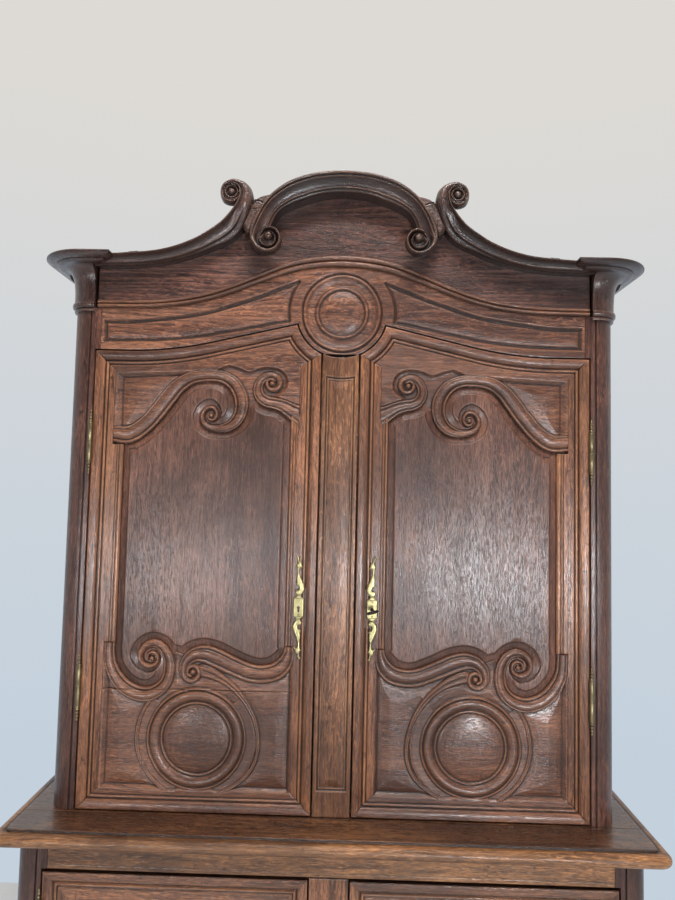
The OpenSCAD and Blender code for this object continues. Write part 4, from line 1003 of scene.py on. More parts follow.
FB = crom([(594.5, 1288), (541, 1288), (500, 1288), (460, 1290), (420, 1296), (380, 1306), (340, 1320), (310, 1335), (285, 1350), (262, 1366), (247, 1385), (236, 1405), (228, 1428), (218, 1453), (207, 1462), (194, 1466.5), (178, 1469.5), (140, 1475), (100, 1483), (50, 1489), (0, 1491)], 5)
x = axis((-594.3, 594.3, 3.0))
z = axis((1194, 1494, 3.0))
X, Z = np.meshgrid(x, z)
F = np.minimum.reduce([594.2 - np.abs(X), Z - bt(X), (np.interp(np.abs(X), FB[::-1, 0], FB[::-1, 1]) - Z) * 0.8])
H = 0.35 * wob(X, Z, 61, 55) - 0.8 * np.exp(-np.clip(F, 0, 50) / 1.2)
make("figured_frieze_board", [relief(x, z + T, F, H, yU + 5, yU + 28, "x", (0.9, 0.1, 0.35))], frieze_oak, "root", ["frieze_board"])

x = axis((-43.5, 43.5, 1.0))
z = axis((0.4, 80, 1.25), (80, 478, 7), (478, 513, 1.2), (513, 985, 7), (985, 1082, 1.25))
X, Z = np.meshgrid(x, z)
R = np.hypot(X, Z - 1177)
F = np.minimum.reduce([43.3 - np.abs(X), Z - 0.6, R - 109.2])
CP = table([(-20, 0), (-1, 0), (0.3, -4.4), (2.6, -4.4), (3.4, -2.6), (5.6, -2.6), (6.4, -4.6), (8, -4.4), (22, -1.2), (24, -0.6), (40, -0.3)], 0.45)
ec = np.minimum.reduce([34 - np.abs(X), Z - 60, np.where(np.abs(X) < 34, (R - 158), 50)])
H = CP(np.clip(ec, -20, 40)) - 1.0 * np.exp(-np.clip(F, 0, 50) / 0.8) + 0.12 * wob(X, Z, 71, 50)


def mortised(yf, z0, z1):
    """Back of the post's front piece, cut away where the lock bolts enter from both sides."""
    return lambda a, b: yf + 28 - 19.7 * ((np.abs(a) > 33.2) & (b > z0) & (b < z1))


cp = [relief(x, z + T, F, H, yU, mortised(yU, T + 484, T + 506.8), "z", (1.4, 0.2, 0.9))]
cp.append(extrude([(-62, T + 22), (62, T + 22), (62, T + 1060), (-62, T + 1060)], lambda a, b, t: (a, t, b), yU + 28.1, yU + 50, 1.2))
make("upper_centre_post_moulded", cp, lock_oak, "root", ["upper_centre_post"])


# ------------------------------------------------------------------ rounded corner posts
def post_section(xi, xo, yf, yb, r, g0, g1):
    """Plan of a right-hand post: inner face, groove on the front, rounded corner."""
    p = [(xi, yb), (xi, yf + 1.2), (xi + 0.4, yf + 0.35), (xi + 1.2, yf), (g0 - 0.8, yf), (g0, yf + 0.8), (g0 + 0.6, yf + 4.2), (g1 - 0.6, yf + 4.2), (g1, yf + 0.9), (g1 + 0.9, yf)]
    for t in np.linspace(0, math.pi / 2, 17):
        p.append((xo - r + r * math.sin(t), yf + r - r * math.cos(t)))
    p += [(xo, yb - 1), (xo - 1, yb)]
    return np.array(p)


def post(xi, xo, yf, yb, r, g0, g1, z0, z1, off):
    p = post_section(xi, xo, yf, yb, r, g0, g1)
    S = []
    for zz_ in np.linspace(z0, z1, 15):
        w = 0.25 * math.sin(zz_ / 90.0 + off[0] * 9)
        S.append([(a + w * 0.3 * (a > xi + 3), b + w * 0.4 * (b < yb - 3), zz_) for a, b in p])
    return loft(S, off=off)


pr = post(594.5, 656.0, yU, yU + 50, 44.6, 604.5, 608.5, T, T + 1169, (0.2, 0, 0.3))
ear = extrude([(582.1, T + 1078.3), (598, T + 1078.3), (598, T + 1178.8), (582.1, T + 1178.8)], lambda a, b, t: (a, t, b), yU - 0.05, yU + 30, 0.7, off=(0.2, 0, 0.3))
tongue = extrude([(600.5, yU + 13), (632, yU + 13), (632, yU + 44), (600.5, yU + 44)], lambda a, b, t: (a, b, t), T + 1169, T + 1262, 0.6)
make("upper_corner_posts", [pr, pr.mirrored(), ear, ear.mirrored(), tongue, tongue.mirrored()], post_oak, "root", ["upper_front_posts"], angle=40)

pl = post(641.5, 703, yL, yL + 60, 33.4, 651, 655, 96, TU, (0.8, 0, 0.1))
foot = lathe(672, yL + 31, 0, [(20, 0), (24, 0.6), (26.5, 3), (27.5, 8), (26.5, 13), (24.5, 16), (21.5, 18), (21, 20), (22.5, 22.5), (22.5, 26), (20.5, 28.5), (17.8, 33), (16.8, 40), (17.6, 47), (20, 53),
                              (23.5, 56), (24.5, 59), (23.5, 62), (22, 64), (23, 67), (26, 72), (28.2, 78), (29, 84), (28.4, 89), (26.5, 93), (24, 96)], seg=40, off=(0.3, 0.8, 0.2))
ear = extrude([(629.1, 814.6), (645, 814.6), (645, TU - 0.2), (629.1, TU - 0.2)], lambda a, b, t: (a, t, b), yL - 0.05, yL + 28, 0.7, off=(0.8, 0, 0.1))
make("base_corner_posts_and_feet", [pl, pl.mirrored(), ear, ear.mirrored(), foot, foot.mirrored()], post_oak, "root", ["base_front_posts"], angle=40)


# ------------------------------------------------------------------ cornice
def lerp_prof(a, b, k):
    return a * (1 - k) + b * k


SWT = table([(0, 50), (0.02, 54.5), (0.05, 56.5), (0.13, 56.5), (0.155, 55), (0.175, 51.5), (0.20, 51), (0.25, 47.6), (0.32, 44), (0.42, 40.6), (0.54, 38),
             (0.66, 36.4), (0.75, 35.6), (0.79, 35.2), (0.805, 33), (0.82, 28.5), (0.85, 26.8), (0.92, 25.6), (0.97, 23), (1.0, 18)], 0.006)
TORT = table([(0, 48), (0.03, 54), (0.08, 57.5), (0.13, 57.5), (0.165, 54.5), (0.19, 50.5), (0.22, 50.2), (0.32, 53.4), (0.5, 55.2), (0.68, 54.2), (0.84, 50.5), (0.94, 45.5), (1.0, 39)], 0.012)
ARCHT = table([(0, 44), (0.02, 55), (0.05, 59.5), (0.10, 61), (0.16, 61), (0.195, 59.5), (0.22, 54), (0.25, 54), (0.275, 57), (0.31, 56), (0.38, 51), (0.46, 46.6), (0.55, 43.4),
               (0.64, 41.4), (0.72, 40.6), (0.76, 41.2), (0.79, 43.8), (0.825, 44.8), (0.86, 43.4), (0.885, 38.5), (0.91, 37.8), (0.95, 37.2), (0.985, 35), (1, 30)], 0.008)
VOLT = table([(0, 44), (0.03, 52), (0.09, 57.5), (0.2, 60), (0.32, 59), (0.40, 55), (0.44, 49), (0.5, 44.5), (0.6, 42), (0.7, 42.6), (0.76, 46), (0.8, 52), (0.86, 55.5), (0.92, 55), (0.96, 51), (1, 43)], 0.012)
SWP = [(606, 1285.4, 9.7), (575, 1285.6, 9.7), (541, 1286, 9.7), (500, 1288.4, 10.7), (460, 1292, 10.5), (430, 1296.6, 10.2), (400, 1303.8, 10.4), (370, 1313.5, 11.2), (337, 1327.5, 12.6), (312, 1341, 14.8), (293, 1351.5, 17),
       (272.9, 1366.2, 18.7), (254.5, 1388, 18.9), (241.5, 1411, 17.3), (234.8, 1432, 15.6), (233.8, 1451, 15), (240.2, 1464.4, 12), (249.4, 1471.6, 9.4), (258, 1474.8, 7.8), (266.8, 1475.4, 7.2),
       (283.6, 1467.2, 6.2), (289.6, 1450.4, 5.4), (283.6, 1433.8, 5.4), (267, 1427.2, 4.6), (254, 1432.4, 3.6), (249, 1440, 2.6)]
ARP = [(-52, 1476.6, 21.6), (-27, 1479.6, 21.3), (0.0, 1480.7, 21.3), (27, 1479.6, 21.3), (52, 1476.6, 21.6), (73, 1472.6, 22.2), (101, 1463.5, 22.8), (127, 1452.6, 21.6), (154, 1435, 19.2), (171, 1418.5, 18), (184, 1398, 18.4),
       (193, 1377.5, 19.6), (200, 1357, 20.2), (206.3, 1338, 13.8), (197, 1319.6, 10.4), (178.5, 1312.4, 9.2), (161, 1319.4, 8.6), (154, 1337, 8.3), (161.3, 1353.6, 7.6), (174, 1360, 6.6), (186, 1357, 5.4), (195, 1350, 4)]
WEDGE = [(237, 1364), (228, 1357), (219, 1360), (211, 1380), (199, 1404), (184, 1422), (187, 1430), (200, 1436.5), (213, 1437), (222, 1424), (233, 1398), (241, 1378)]


def path_s(path, k, n=8):
    """Length along the smoothed path up to knot k."""
    P = crom(path, n)[:, :2]
    return float(np.linalg.norm(np.diff(P[:k * n + 1], axis=0), axis=1).sum())


def sweep_relief():
    x, z = axis((166, 600, 1.0)), axis((1262, 1488, 1.0))
    X, Z = np.meshgrid(x, z)
    wx, wz = X + 0.35 * wob(X, Z, 141, 40), Z + 0.35 * wob(X, Z, 142, 40)
    V, W, S = ribbon(wx, wz, SWP, -1)
    q = (1 - np.abs(V)) * W
    u = np.clip((1 - V) / 2, 0, 1)
    s1, s2, s3 = path_s(SWP, 6), path_s(SWP, 11), path_s(SWP, 14)
    ua = np.interp(S, [0, s1 * 0.5, s1, path_s(SWP, 8), s2, s3], [0.80, 0.82, 0.86, 0.80, 0.62, 0.60])
    ur = np.where(u < ua, u / ua * 0.8, 0.8 + (u - ua) / (1 - ua) * 0.2)
    k = smooth(path_s(SWP, 11), path_s(SWP, 14), S)
    H = SWT(ur) * (1 - k) + TORT(u) * k
    H = H - 2.2 * smooth(path_s(SWP, 18), path_s(SWP, 22), S)
    r = np.hypot(wx - 266.8, wz - 1450.4)
    core = table([(0, 54.6), (4, 54.0), (6.5, 51.8), (8.4, 46.0), (9.8, 44.0), (11.2, 46.0), (12.8, 50.5), (14.6, 52.4), (16.2, 50.8), (17.6, 46), (19, 42), (20.5, 40), (24, 41)], 0.4)
    F = np.where(q > -30, q, -30)
    disc = 20.4 - r
    H = np.where((q < 0.0) & (disc > 0), core(np.clip(r, 0, 24)), H)
    H = np.where((r < 18.6), core(np.clip(r, 0, 24)), H)
    F = np.maximum(F, disc)
    dw = sdpoly(X, Z, WEDGE, 30)
    H = np.where((dw > 0) & (F < 0), 33.0 + 7 * smooth(0, 7, dw), H)
    F = np.maximum(F, dw)
    bump_ = smooth(12.8, 11.4, np.abs(X - 494)) * (V > 0)
    F = np.where((np.abs(X - 494) < 12.8) & (V > 0), F + 2.6 * bump_, F)
    F = np.minimum(F, 596.0 - X)
    H = H - 0.7 * np.exp(-np.clip(F, 0, 50) / 0.7) + 0.12 * wob(X, Z, 143, 22)
    H = np.maximum(H, 16.0)
    front = relief(x, z + T, F, H, yU, lambda a, b: yU - 12 - 18 * smooth(52, 40, np.hypot(a - 266.8, b - T - 1450.4)), "x", (0.1, 0.2, 0.4), cavity=0.6, outline_dirt_and_shade=0.15, blur=(2, 5))
    front.g = np.stack([front.g[:, 0] * 1.0, front.g[:, 1], front.g[:, 2]], -1)
    Fb = np.minimum(np.maximum(np.where(S < path_s(SWP, 13), q - 0.5, -5), dw - 0.2), 595.6 - X)
    Fb = np.where(r < 44, np.minimum(Fb, r - 44 + 0.0), Fb)
    back = relief(x[::2], z[::2] + T, Fb[::2, ::2], np.full(X[::2, ::2].shape, 14.0), yU, yU + 5, "x", (0.1, 0.2, 0.4), outline_dirt_and_shade=0)
    # the core behind the moulding gets a fixed cav that darkens it: painted shade on the soffit
    back.c[:] = 0.35
    return [front, back]


sw = sweep_relief()
make("cornice_sweep_right_moulded", sw, dark_oak, "root", ["cornice_sweep_right"])
make("cornice_sweep_left_moulded", [p.mirrored() for p in sw], dark_oak, "root", ["cornice_sweep_left"])


def arch_relief():
    """Right half of the arch with its lower volute; the left half is its mirror image."""
    x, z = axis((0, 228, 1.0)), axis((1298, 1506, 1.0))
    X, Z = np.meshgrid(x, z)
    wx, wz = X + 0.35 * wob(X, Z, 151, 40) * smooth(0, 30, X), Z + 0.35 * wob(X, Z, 152, 40) * smooth(0, 30, X)
    V, W, S = ribbon(wx, wz, ARP, 1)
    q = (1 - np.abs(V)) * W
    u = np.clip((1 - V) / 2, 0, 1)
    k = smooth(path_s(ARP, 11), path_s(ARP, 14), S)
    H = ARCHT(u) * (1 - k) + VOLT(u) * k
    H = H - 2.5 * smooth(path_s(ARP, 17), path_s(ARP, 21), S)
    r = np.hypot(wx - 178, wz - 1337)
    F = np.where(q > -30, q, -30)
    disc = 17.0 - r
    H = np.where((q < 0) & (disc > -3), 41.0 - 1.2 * smooth(6, 15, r), H)
    F = np.maximum(F, disc)
    rk = np.hypot(wx - 177.2, wz - 1345.2)
    knob = table([(0, 56.0), (5, 55.4), (7.2, 53.2), (8.8, 49), (9.8, 45), (10.4, 42), (20, 41)], 0.3)
    H = np.where(rk < 10.4, np.where(rk > 9.6, np.maximum(H * (rk > 10.2), knob(np.clip(rk, 0, 20))), knob(np.clip(rk, 0, 20))), H)
    H = H - 0.7 * np.exp(-np.clip(F, 0, 50) / 0.7) + 0.12 * wob(X, Z, 153, 22) * smooth(0, 20, X)
    front = relief(x, z + T, F, H, yU, lambda a, b: yU - 28 - 6 * smooth(44, 34, np.hypot(a - 178, b - T - 1337)), "x", (0.5, 0.6, 0.2), cavity=0.6, outline_dirt_and_shade=0.15, blur=(2, 5))
    Fb = np.where(S < path_s(ARP, 13), q - 0.4, -5)
    Fb = np.where(r < 40, np.minimum(Fb, r - 40), Fb)
    back = relief(x[::2], z[::2] + T, Fb[::2, ::2], np.full(X[::2, ::2].shape, 29.5), yU, yU + 5, "x", (0.1, 0.2, 0.4), outline_dirt_and_shade=0)
    # the core behind the arch gets a fixed cav that darkens it: painted shade on the soffit
    back.c[:] = 0.45
    return [front, back]


ar = arch_relief()
make("cornice_arch_moulded", ar + [p.mirrored() for p in ar], dark_oak, "root", ["cornice_arch"])


def block_outline(o, xs=541.0, n=24):
    p = [(xs, -100.0), (xs, yU - 79 + o)]
    p += [(float(q), yU - 79 + o) for q in np.linspace(xs + 8, 611, 5)]
    for t in np.linspace(0, math.pi / 2, n)[1:]:
        p.append((611 + (118 - o) * math.sin(t), yU + 39 - (118 - o) * math.cos(t)))
    p.append((729 - o, -100.0))
    return p


CORN = [(1277, 40), (1277, 33), (1277.5, 29.8), (1279, 27), (1280.4, 24.6), (1281.2, 23), (1281.5, 24.6), (1282.2, 24.6), (1282.6, 21), (1283, 17.5), (1284, 13), (1286, 8), (1288.5, 4.2), (1290.6, 2.4), (1291.2, 2.4),
        (1291.5, 0.4), (1293.3, 0.0), (1294.6, 0.6), (1295.4, 2.5)]
blk = loft([[(a, b, T + zz_) for a, b in block_outline(o, 541 + 0.9 * o)] for zz_, o in CORN], gdir="x", off=(0.1, 0.3, 0.2))
make("cornice_corner_mouldings", [blk, blk.mirrored()], dark_oak, "root", ["cornice_corner_blocks"], angle=34)

COV = [(1236, 71), (1237.5, 69.5), (1241, 66.5), (1246, 62), (1252, 56), (1259, 48.5), (1266, 41.5), (1272, 37), (1276, 35.5)]
side_prof = [(612, 1262.6), (656.3, 1262.6), (656.3, 1236)] + [(729 - o, zz_) for zz_, o in COV] + [(729 - o, zz_) for zz_, o in CORN[1:]] + [(612, 1295.4)]
sc = loft([[(a, yy, T + b) for a, b in side_prof] for yy in np.linspace(-99.8, 268, 9)], off=(0.7, 0.1, 0.5))
stop = extrude([(612.5, -131), (655.5, -131), (655.5, -99), (612.5, -99)], lambda a, b, t: (a, b, t), T + 1258.5, T + 1277.6, 1.0)
make("side_cornice_mouldings", [sc, sc.mirrored(), stop, stop.mirrored()], dark_oak, "root", ["side_cornices"], angle=34)

# capital: a bell over a bead, swept round the post
CAPP = [(-3.5, 1169.2), (4, 1169.2), (5.5, 1170), (6.5, 1172.5), (6, 1175.5), (5, 1177), (4.6, 1177.6), (8, 1178.4), (10.5, 1181), (11.3, 1185), (11.3, 1188), (10.3, 1191), (8.8, 1192.8), (7.6, 1193.6), (7.2, 1195), (7.0, 1200),
        (7.2, 1215), (8.0, 1230), (9.6, 1244), (12.4, 1256), (16.6, 1265), (22, 1271.6), (28, 1275.4), (33, 1277), (-3.5, 1277)]


def capital_section(o):
    p = [(597.2, yU + 8), (597.2, yU - o + 0.4), (597.8, yU - o)]
    for t in np.linspace(0, math.pi / 2, 19):
        p.append((611.4 + (44.6 + o) * math.sin(t), yU + 44.6 - (44.6 + o) * math.cos(t)))
    p.append((656 + o, yU + 50))
    return p


secs = np.array([[(a, b, T + zz_) for a, b in capital_section(o)] for o, zz_ in CAPP]).transpose(1, 0, 2)
cap = loft(secs, off=(0.6, 0.2, 0.9), gdir="z")
make("corner_capitals_moulded", [cap, cap.mirrored()], dark_oak, "root", ["corner_capitals"], angle=38)


# ------------------------------------------------------------------ table board
def table_outline(o, n=9):
    w, r = 732.5 - o, max(7.0, 26 - o * 0.6)
    p = [(-w, 280.0), (-w, -280 + o + r)]
    for t in np.linspace(0, math.pi / 2, n)[1:]:
        p.append((-w + r - r * math.cos(t), -280 + o + r - r * math.sin(t)))
    for q in np.linspace(-w + r, w - r, 25)[1:]:
        p.append((float(q), -280 + o))
    for t in np.linspace(0, math.pi / 2, n)[1:]:
        p.append((w - r + r * math.sin(t), -280 + o + r - r * math.cos(t)))
    p.append((w, 280.0))
    return p


NOSE = [(886, 14), (886.4, 10.4), (888, 6.8), (891, 3.4), (895, 1.0), (899, 0.1), (903, 0.4), (906.6, 1.9), (909.6, 4.4), (911.8, 7.6), (913.2, 11.4), (913.8, 15.4), (914, 19), (914, 22)]
nose = loft([[(a, b + 0.25 * math.sin(a / 37.0) * (b < 0), zz_) for a, b in table_outline(o)] for zz_, o in NOSE], gdir="x", off=(0.3, 0.1, 0.6))
# cav along the nose is set by the offset: darker in the step under the slab (painted shade), slightly lighter along
# the crown (wear and painted highlight)
nose.c = nose.c * 0.4 + np.repeat(np.interp([o for _, o in NOSE], [0, 8, 15, 20, 22], [-0.25, -0.1, 0.15, 0.6, 0.9]), len(table_outline(0)))
make("table_board_nose", [nose], nose_oak, "root", ["table_top"], angle=50)
seams = (-172.0, -32.0, 118.0)
ys = [(-260.2, -254, 1.0), (-254, -178, 19)]
for i, s_ in enumerate(seams):
    ys += [(s_ - 6 if i else -178, s_ + 6, 1.0)]
    ys += [(s_ + 6, (seams[i + 1] - 6) if i < 2 else 280.2, 16)]
xg = axis((-705.2, -690, 1.0), (-690, 690, 20), (690, 705.2, 1.0))
yg = axis(*ys)
X, Y = np.meshgrid(xg, yg)
r = 12.0
qx = np.maximum(np.abs(X) - (705 - r), 0)
qy = np.maximum(-(Y + 260 - r), 0)
F = np.minimum.reduce([np.where((qx > 0) & (qy > 0), r - np.hypot(qx, qy), np.minimum(705 - np.abs(X), Y + 260)), 280 - Y])
H = 0 - 1.5 * np.exp(-np.clip(F, 0, 50) / 1.1) + 0.25 * wob(X, Y, 81, 90)
for s_ in seams:
    H = H - 1.1 * np.exp(-((Y - s_ - 0.8 * np.sin(X / 300)) / 0.7) ** 2)
H = np.where(Y > 270, np.minimum(H, 0), H)
# the board lies flat: its height becomes z
# outline_dirt_and_shade 0.5 darkens the board along its outline, at the step above the nose: dirt and painted shade
tb = relief(xg, yg, F, H - 0.3, 0, 12, "z", (0, 0, 0), cavity=0.8, outline_dirt_and_shade=0.5)
V = tb.V.copy()
tb.V = np.stack([V[:, 0], V[:, 2], T - V[:, 1] - 0.0], -1)
tb.g = np.stack([V[:, 2] * 0.001 + np.floor((V[:, 2] + 172) / 145) * 0.37, V[:, 1] * 0.001, V[:, 0] * 0.001], -1)
tb.outward()
make("table_board_top", [tb], table_oak, "root")

# ------------------------------------------------------------------ lower cupboard front
x = axis((-629.3, -618, 1.2), (-618, 618, 9), (618, 629.3, 1.2))
z = axis((814.0, 828, 1.2), (828, 872, 5.5), (872, 885.8, 1.2))
X, Z = np.meshgrid(x, z)
F = np.minimum.reduce([628.9 - np.abs(X), Z - 814.4, 885.9 - Z])
H = -1.4 * np.exp(-np.clip(F, 0, 50) / 1.0) + 0.3 * wob(X, Z, 91, 80) - 0.9 * np.exp(-((Z - 824) / 0.9) ** 2)
make("base_frieze_rail_front", [relief(x, z, F, H, yL, yL + 28, "x", (0.2, 0.5, 0.8))], nose_oak, "root", ["base_frieze_rail"])

x = axis((-43.4, 43.4, 1.1))
z = axis((186.2, 240, 1.6), (240, 524, 9), (524, 557, 1.2), (557, 760, 9), (760, 812.8, 1.6))
X, Z = np.meshgrid(x, z)
F = np.minimum.reduce([43.2 - np.abs(X), Z - 186.3, 812.7 - Z])
ec = np.minimum.reduce([32 - np.abs(X), Z - 216, 700 - Z])
H = CP(np.clip(ec, -20, 40)) - 1.0 * np.exp(-np.clip(F, 0, 50) / 0.9)
cpb = [relief(x, z, F, H, yL, mortised(yL, 529, 551.8), "z", (0.5, 0.2, 0.3))]
cpb.append(extrude([(-62, 212), (62, 212), (62, 812.8), (-62, 812.8)], lambda a, b, t: (a, t, b), yL + 28.1, yL + 48, 1.2))
make("base_centre_post_moulded", cpb, frame_oak, "root", ["base_centre_post"])

AL = crom([(641.5, 96), (620, 102), (580, 120), (520, 134), (430, 140), (330, 136), (240, 122), (160, 104), (90, 98), (40, 106), (0, 112)], 6)
x = axis((-641.3, 641.3, 2.2))
z = axis((94, 186, 1.6))
X, Z = np.meshgrid(x, z)
lowz = np.interp(np.abs(X), AL[::-1, 0], AL[::-1, 1])
slope = np.gradient(lowz, axis=1) / np.gradient(X, axis=1)
dlow = (Z - lowz) / np.sqrt(1 + slope ** 2)
F = np.minimum.reduce([641.2 - np.abs(X), dlow, 185.9 - Z])
LIP = table([(0, -0.6), (1.2, 0), (6.5, 0), (8, -1.2), (9, -4.2), (10.5, -4.2), (11.5, -2.6), (14, -1.6), (17, -2.4), (18, -4.4), (19.4, -4.4), (20.4, -2.4), (24, -2.2), (200, -2.2)], 0.5)
H = LIP(np.clip(dlow, 0, 200)) - 0.8 * np.exp(-np.clip(F, 0, 50) / 0.9)
SH1 = [(-30, 150, 9), (-12, 146, 10), (10, 148, 10), (24, 156, 9), (26, 166, 7.5), (18, 172.5, 6), (9, 168, 5), (9.5, 160.5, 4)]
for flip in (1, -1):
    if flip == 1:
        v, w, _ = ribbon(X, Z, SH1, 1)
    else:
        v, w, _ = ribbon(-X[:, ::-1], Z[:, ::-1], SH1, 1)
        v, w = v[:, ::-1], w[:, ::-1]
    H = np.where((np.abs(v) < 1) & (F > 4), SCROLL_S(np.clip((1 - v) / 2, 0, 1)) * 0.45 + 1.6, H)
make("base_apron_carved", [relief(x, z, F, H, yL, yL + 28, "x", (0.6, 0.2, 0.1))], frame_oak, "root", ["base_apron"])


def lower_door(side):
    nm = "lower_left" if side < 0 else "lower_right"
    o = 0.2 if side < 0 else 0.9
    dz0, dz1, x0, x1 = 190.0, 807.0, 47.0, 638.5
    top = crom([(x0 + 61, dz1 - 96), (160, dz1 - 90), (210, dz1 - 72), (270, dz1 - 80), (340, dz1 - 66), (410, dz1 - 80), (470, dz1 - 72), (525, dz1 - 90), (x1 - 61, dz1 - 96)], 8)
    hole = np.vstack([top, [(x1 - 61, dz0 + 76), (x0 + 61, dz0 + 76)]])
    xx = axis((46.5, 128, 1.4), (128, 556, 2.4), (556, 639, 1.4))
    zz = axis((189.4, 284, 1.5), (284, 690, 9), (690, 811, 1.5))
    X, Z = np.meshgrid(xx, zz)
    Fd = np.minimum.reduce([X - x0, x1 - X, Z - dz0, dz1 - Z])
    eh = -sdpoly(X, Z, hole, 60)
    F = np.minimum(Fd, eh)
    H = M_FRAME(np.clip(Fd, 0, 69))
    INN = table([(0, -11.5), (0.8, -9), (2, -6.4), (4.5, -4.4), (7, -4.8), (9, -6.4), (10, -8), (11.2, -8), (12, -5.6), (14, -5.0), (60, -5.0)], 0.4)
    H = np.where(eh < 20, INN(np.clip(eh, 0, 60)), H)
    H = H - 1.0 * np.exp(-np.clip(F, 0, 50) / 0.8) + 0.15 * wob(X, Z, 101 + side, 50)
    for sx in (x0 + 75, x1 - 75):
        gap = ((Z > dz1 - 96) | (Z < dz0 + 78)) & (Fd > 34)
        H = H - np.where(gap, 1.3 * np.exp(-((X - sx) / 0.7) ** 2), 0)
    p = relief(xx, zz, F, H, yL, yL + 27, "z", (o, 0.4, 0.2))
    rail = ((p.V[:, 2] > dz1 - 100) | (p.V[:, 2] < dz0 + 78)) & (p.V[:, 0] > x0 + 75) & (p.V[:, 0] < x1 - 75)
    corner = np.minimum(dz1 - p.V[:, 2], p.V[:, 2] - dz0) < np.minimum(p.V[:, 0] - x0, x1 - p.V[:, 0])
    rail |= corner & (np.minimum(dz1 - p.V[:, 2], p.V[:, 2] - dz0) < 75)
    g = p.V * 0.001
    p.g = np.where(rail[:, None], g[:, [2, 1, 0]] + 0.71, g) + np.array((o, 0.4, 0.2))
    xp = axis((108.6, 150, 1.6), (150, 535, 3.2), (535, 577.4, 1.6))
    zp = axis((258.6, 292, 1.6), (292, 690, 10), (690, 742.4, 1.6))
    XP, ZP = np.meshgrid(xp, zp)
    ep = sdpoly(XP, ZP, hole, 90)
    HP = PANEL(np.clip(ep, -60, 400)) + 0.2 * wob(XP, ZP, 111 + side, 60)
    HP = np.where(ep < 0, -14.5, HP)
    Fp = np.minimum.reduce([XP - 108.4, 577.6 - XP, ZP - 258.4, 742.6 - ZP])
    q = relief(xp, zp, Fp, HP, yL, yL + 21, "z", (o, 0.1, 0.6))
    if side < 0:
        p, q = p.mirrored(), q.mirrored()
    make(nm + "_door_frame_moulded", [p], frame_oak, nm + "_door", [nm + "_door_frame"])
    make(nm + "_door_fielded_panel", [q], panel_oak, nm + "_door", [nm + "_door_panel"])


for sd in (-1, 1):
    lower_door(sd)


# ------------------------------------------------------------------ side panels, fielded
def side_panel(y0, y1, z0, z1, xf, xb, off):
    yy = axis((y0, y0 + 34, 1.8), (y0 + 34, y1 - 34, 12), (y1 - 34, y1, 1.8))
    zz = axis((z0, z0 + 34, 1.8), (z0 + 34, z1 - 34, 12), (z1 - 34, z1, 1.8))
    Y, Z = np.meshgrid(yy, zz)
    e = np.minimum.reduce([Y - y0, y1 - Y, Z - z0, z1 - Z])
    tb_ = table([(0, -7), (6, -7), (8, -6.5), (24, -2.2), (25, -0.4), (27, 0), (400, 0)], 0.6)
    H = tb_(np.clip(e - 0.6, 0, 400)) + 0.2 * wob(Y, Z, int(z0), 50)
    p = relief(yy, zz, np.minimum(e, 50) + 0.001, H, 0, 9.5, "z", off)
    V = p.V.copy()
    p.V = np.stack([xf - V[:, 1], V[:, 0], V[:, 2]], -1)
    p.g = p.V[:, [1, 0, 2]] * 0.001 + np.array(off)
    return p.outward()


sp = [side_panel(yU + 43.2, yR - 38.2, T + 93.2, T + 520.8, 630.3, 0, (0.1, 0.3, 0.2)), side_panel(yU + 43.2, yR - 38.2, T + 603.2, T + 1092.8, 630.3, 0, (0.6, 0.3, 0.9))]
make("upper_side_panels_fielded", sp + [p.mirrored() for p in sp], panel_oak, "root", ["upper_side_panels"])
sp = [side_panel(yL + 53.2, yR - 48.2, 175.2, TU - 93.2, 691.3, 0, (0.4, 0.1, 0.5))]
make("base_side_panels_fielded", sp + [p.mirrored() for p in sp], panel_oak, "root", ["base_side_panels"])


# ------------------------------------------------------------------ hinges
BALL = [(4.6, 0), (6.2, 0.6), (6.9, 2), (7.1, 3.8), (6.6, 5.8), (5.2, 7.4), (3.4, 8.3), (3.0, 9.2), (4.4, 10.3), (5.3, 12), (5.3, 14), (4.4, 15.8), (3.0, 17), (2.6, 17.8), (3.6, 18.8), (4.5, 20.6), (4.6, 22.4), (3.8, 24.4), (2.6, 25.6),
        (2.3, 26.6), (3.0, 27.6), (3.6, 29.4), (3.6, 31), (2.8, 32.8), (1.4, 33.8), (0.5, 34.1)]


def knuckle(xa, yf, z0, z1, tip_up):
    L = z1 - z0
    body = [(6.2, 0.0), (6.9, 0.5), (7.0, 1.4), (6.5, 2.1), (6.5, 2.9), (7.0, 3.6), (7.0, L - 3.6), (6.5, L - 2.9), (6.5, L - 2.1), (7.0, L - 1.4), (6.9, L - 0.5), (6.0, L)]
    body = [(r_ * 0.76, t_) for r_, t_ in body]
    tip = [(r_ * 0.66, t_ * 0.9) for r_, t_ in BALL[1:]]
    if tip_up:
        prof = [(r_, z0 + t_) for r_, t_ in body + [(r_, L + t_) for r_, t_ in tip]]
    else:
        prof = [(r_, z1 - t_) for r_, t_ in body] + [(r_, z0 - t_) for r_, t_ in tip]
    return lathe(xa, yf - 7.5, 0, prof, seg=28)


def leaf(xa, xb_, yf, z0, z1):
    p = [(xa, yf - 3.6), (xb_, yf - 3.6), (xb_, yf + 25.6), (xa, yf + 25.6)]
    return extrude(p, lambda a, b, t: (a, b, t), z0, z1, 0.5)


def hinge_set(xa, yf, heights):
    s, p = [], []
    for h in heights:
        s += [knuckle(xa, yf, h + 0.3, h + 46, True), leaf(xa - 3.4, xa - 1.7, yf, h + 2.4, h + 43.6)]
        p += [knuckle(xa, yf, h - 46, h - 0.1, False), leaf(xa + 1.7, xa + 3.4, yf, h - 43.6, h - 2.4),
              lathe(xa, yf - 7.5, 0, [(2.9, h - 1), (2.9, h + 36), (2.0, h + 37)], seg=16)]
    return s, p


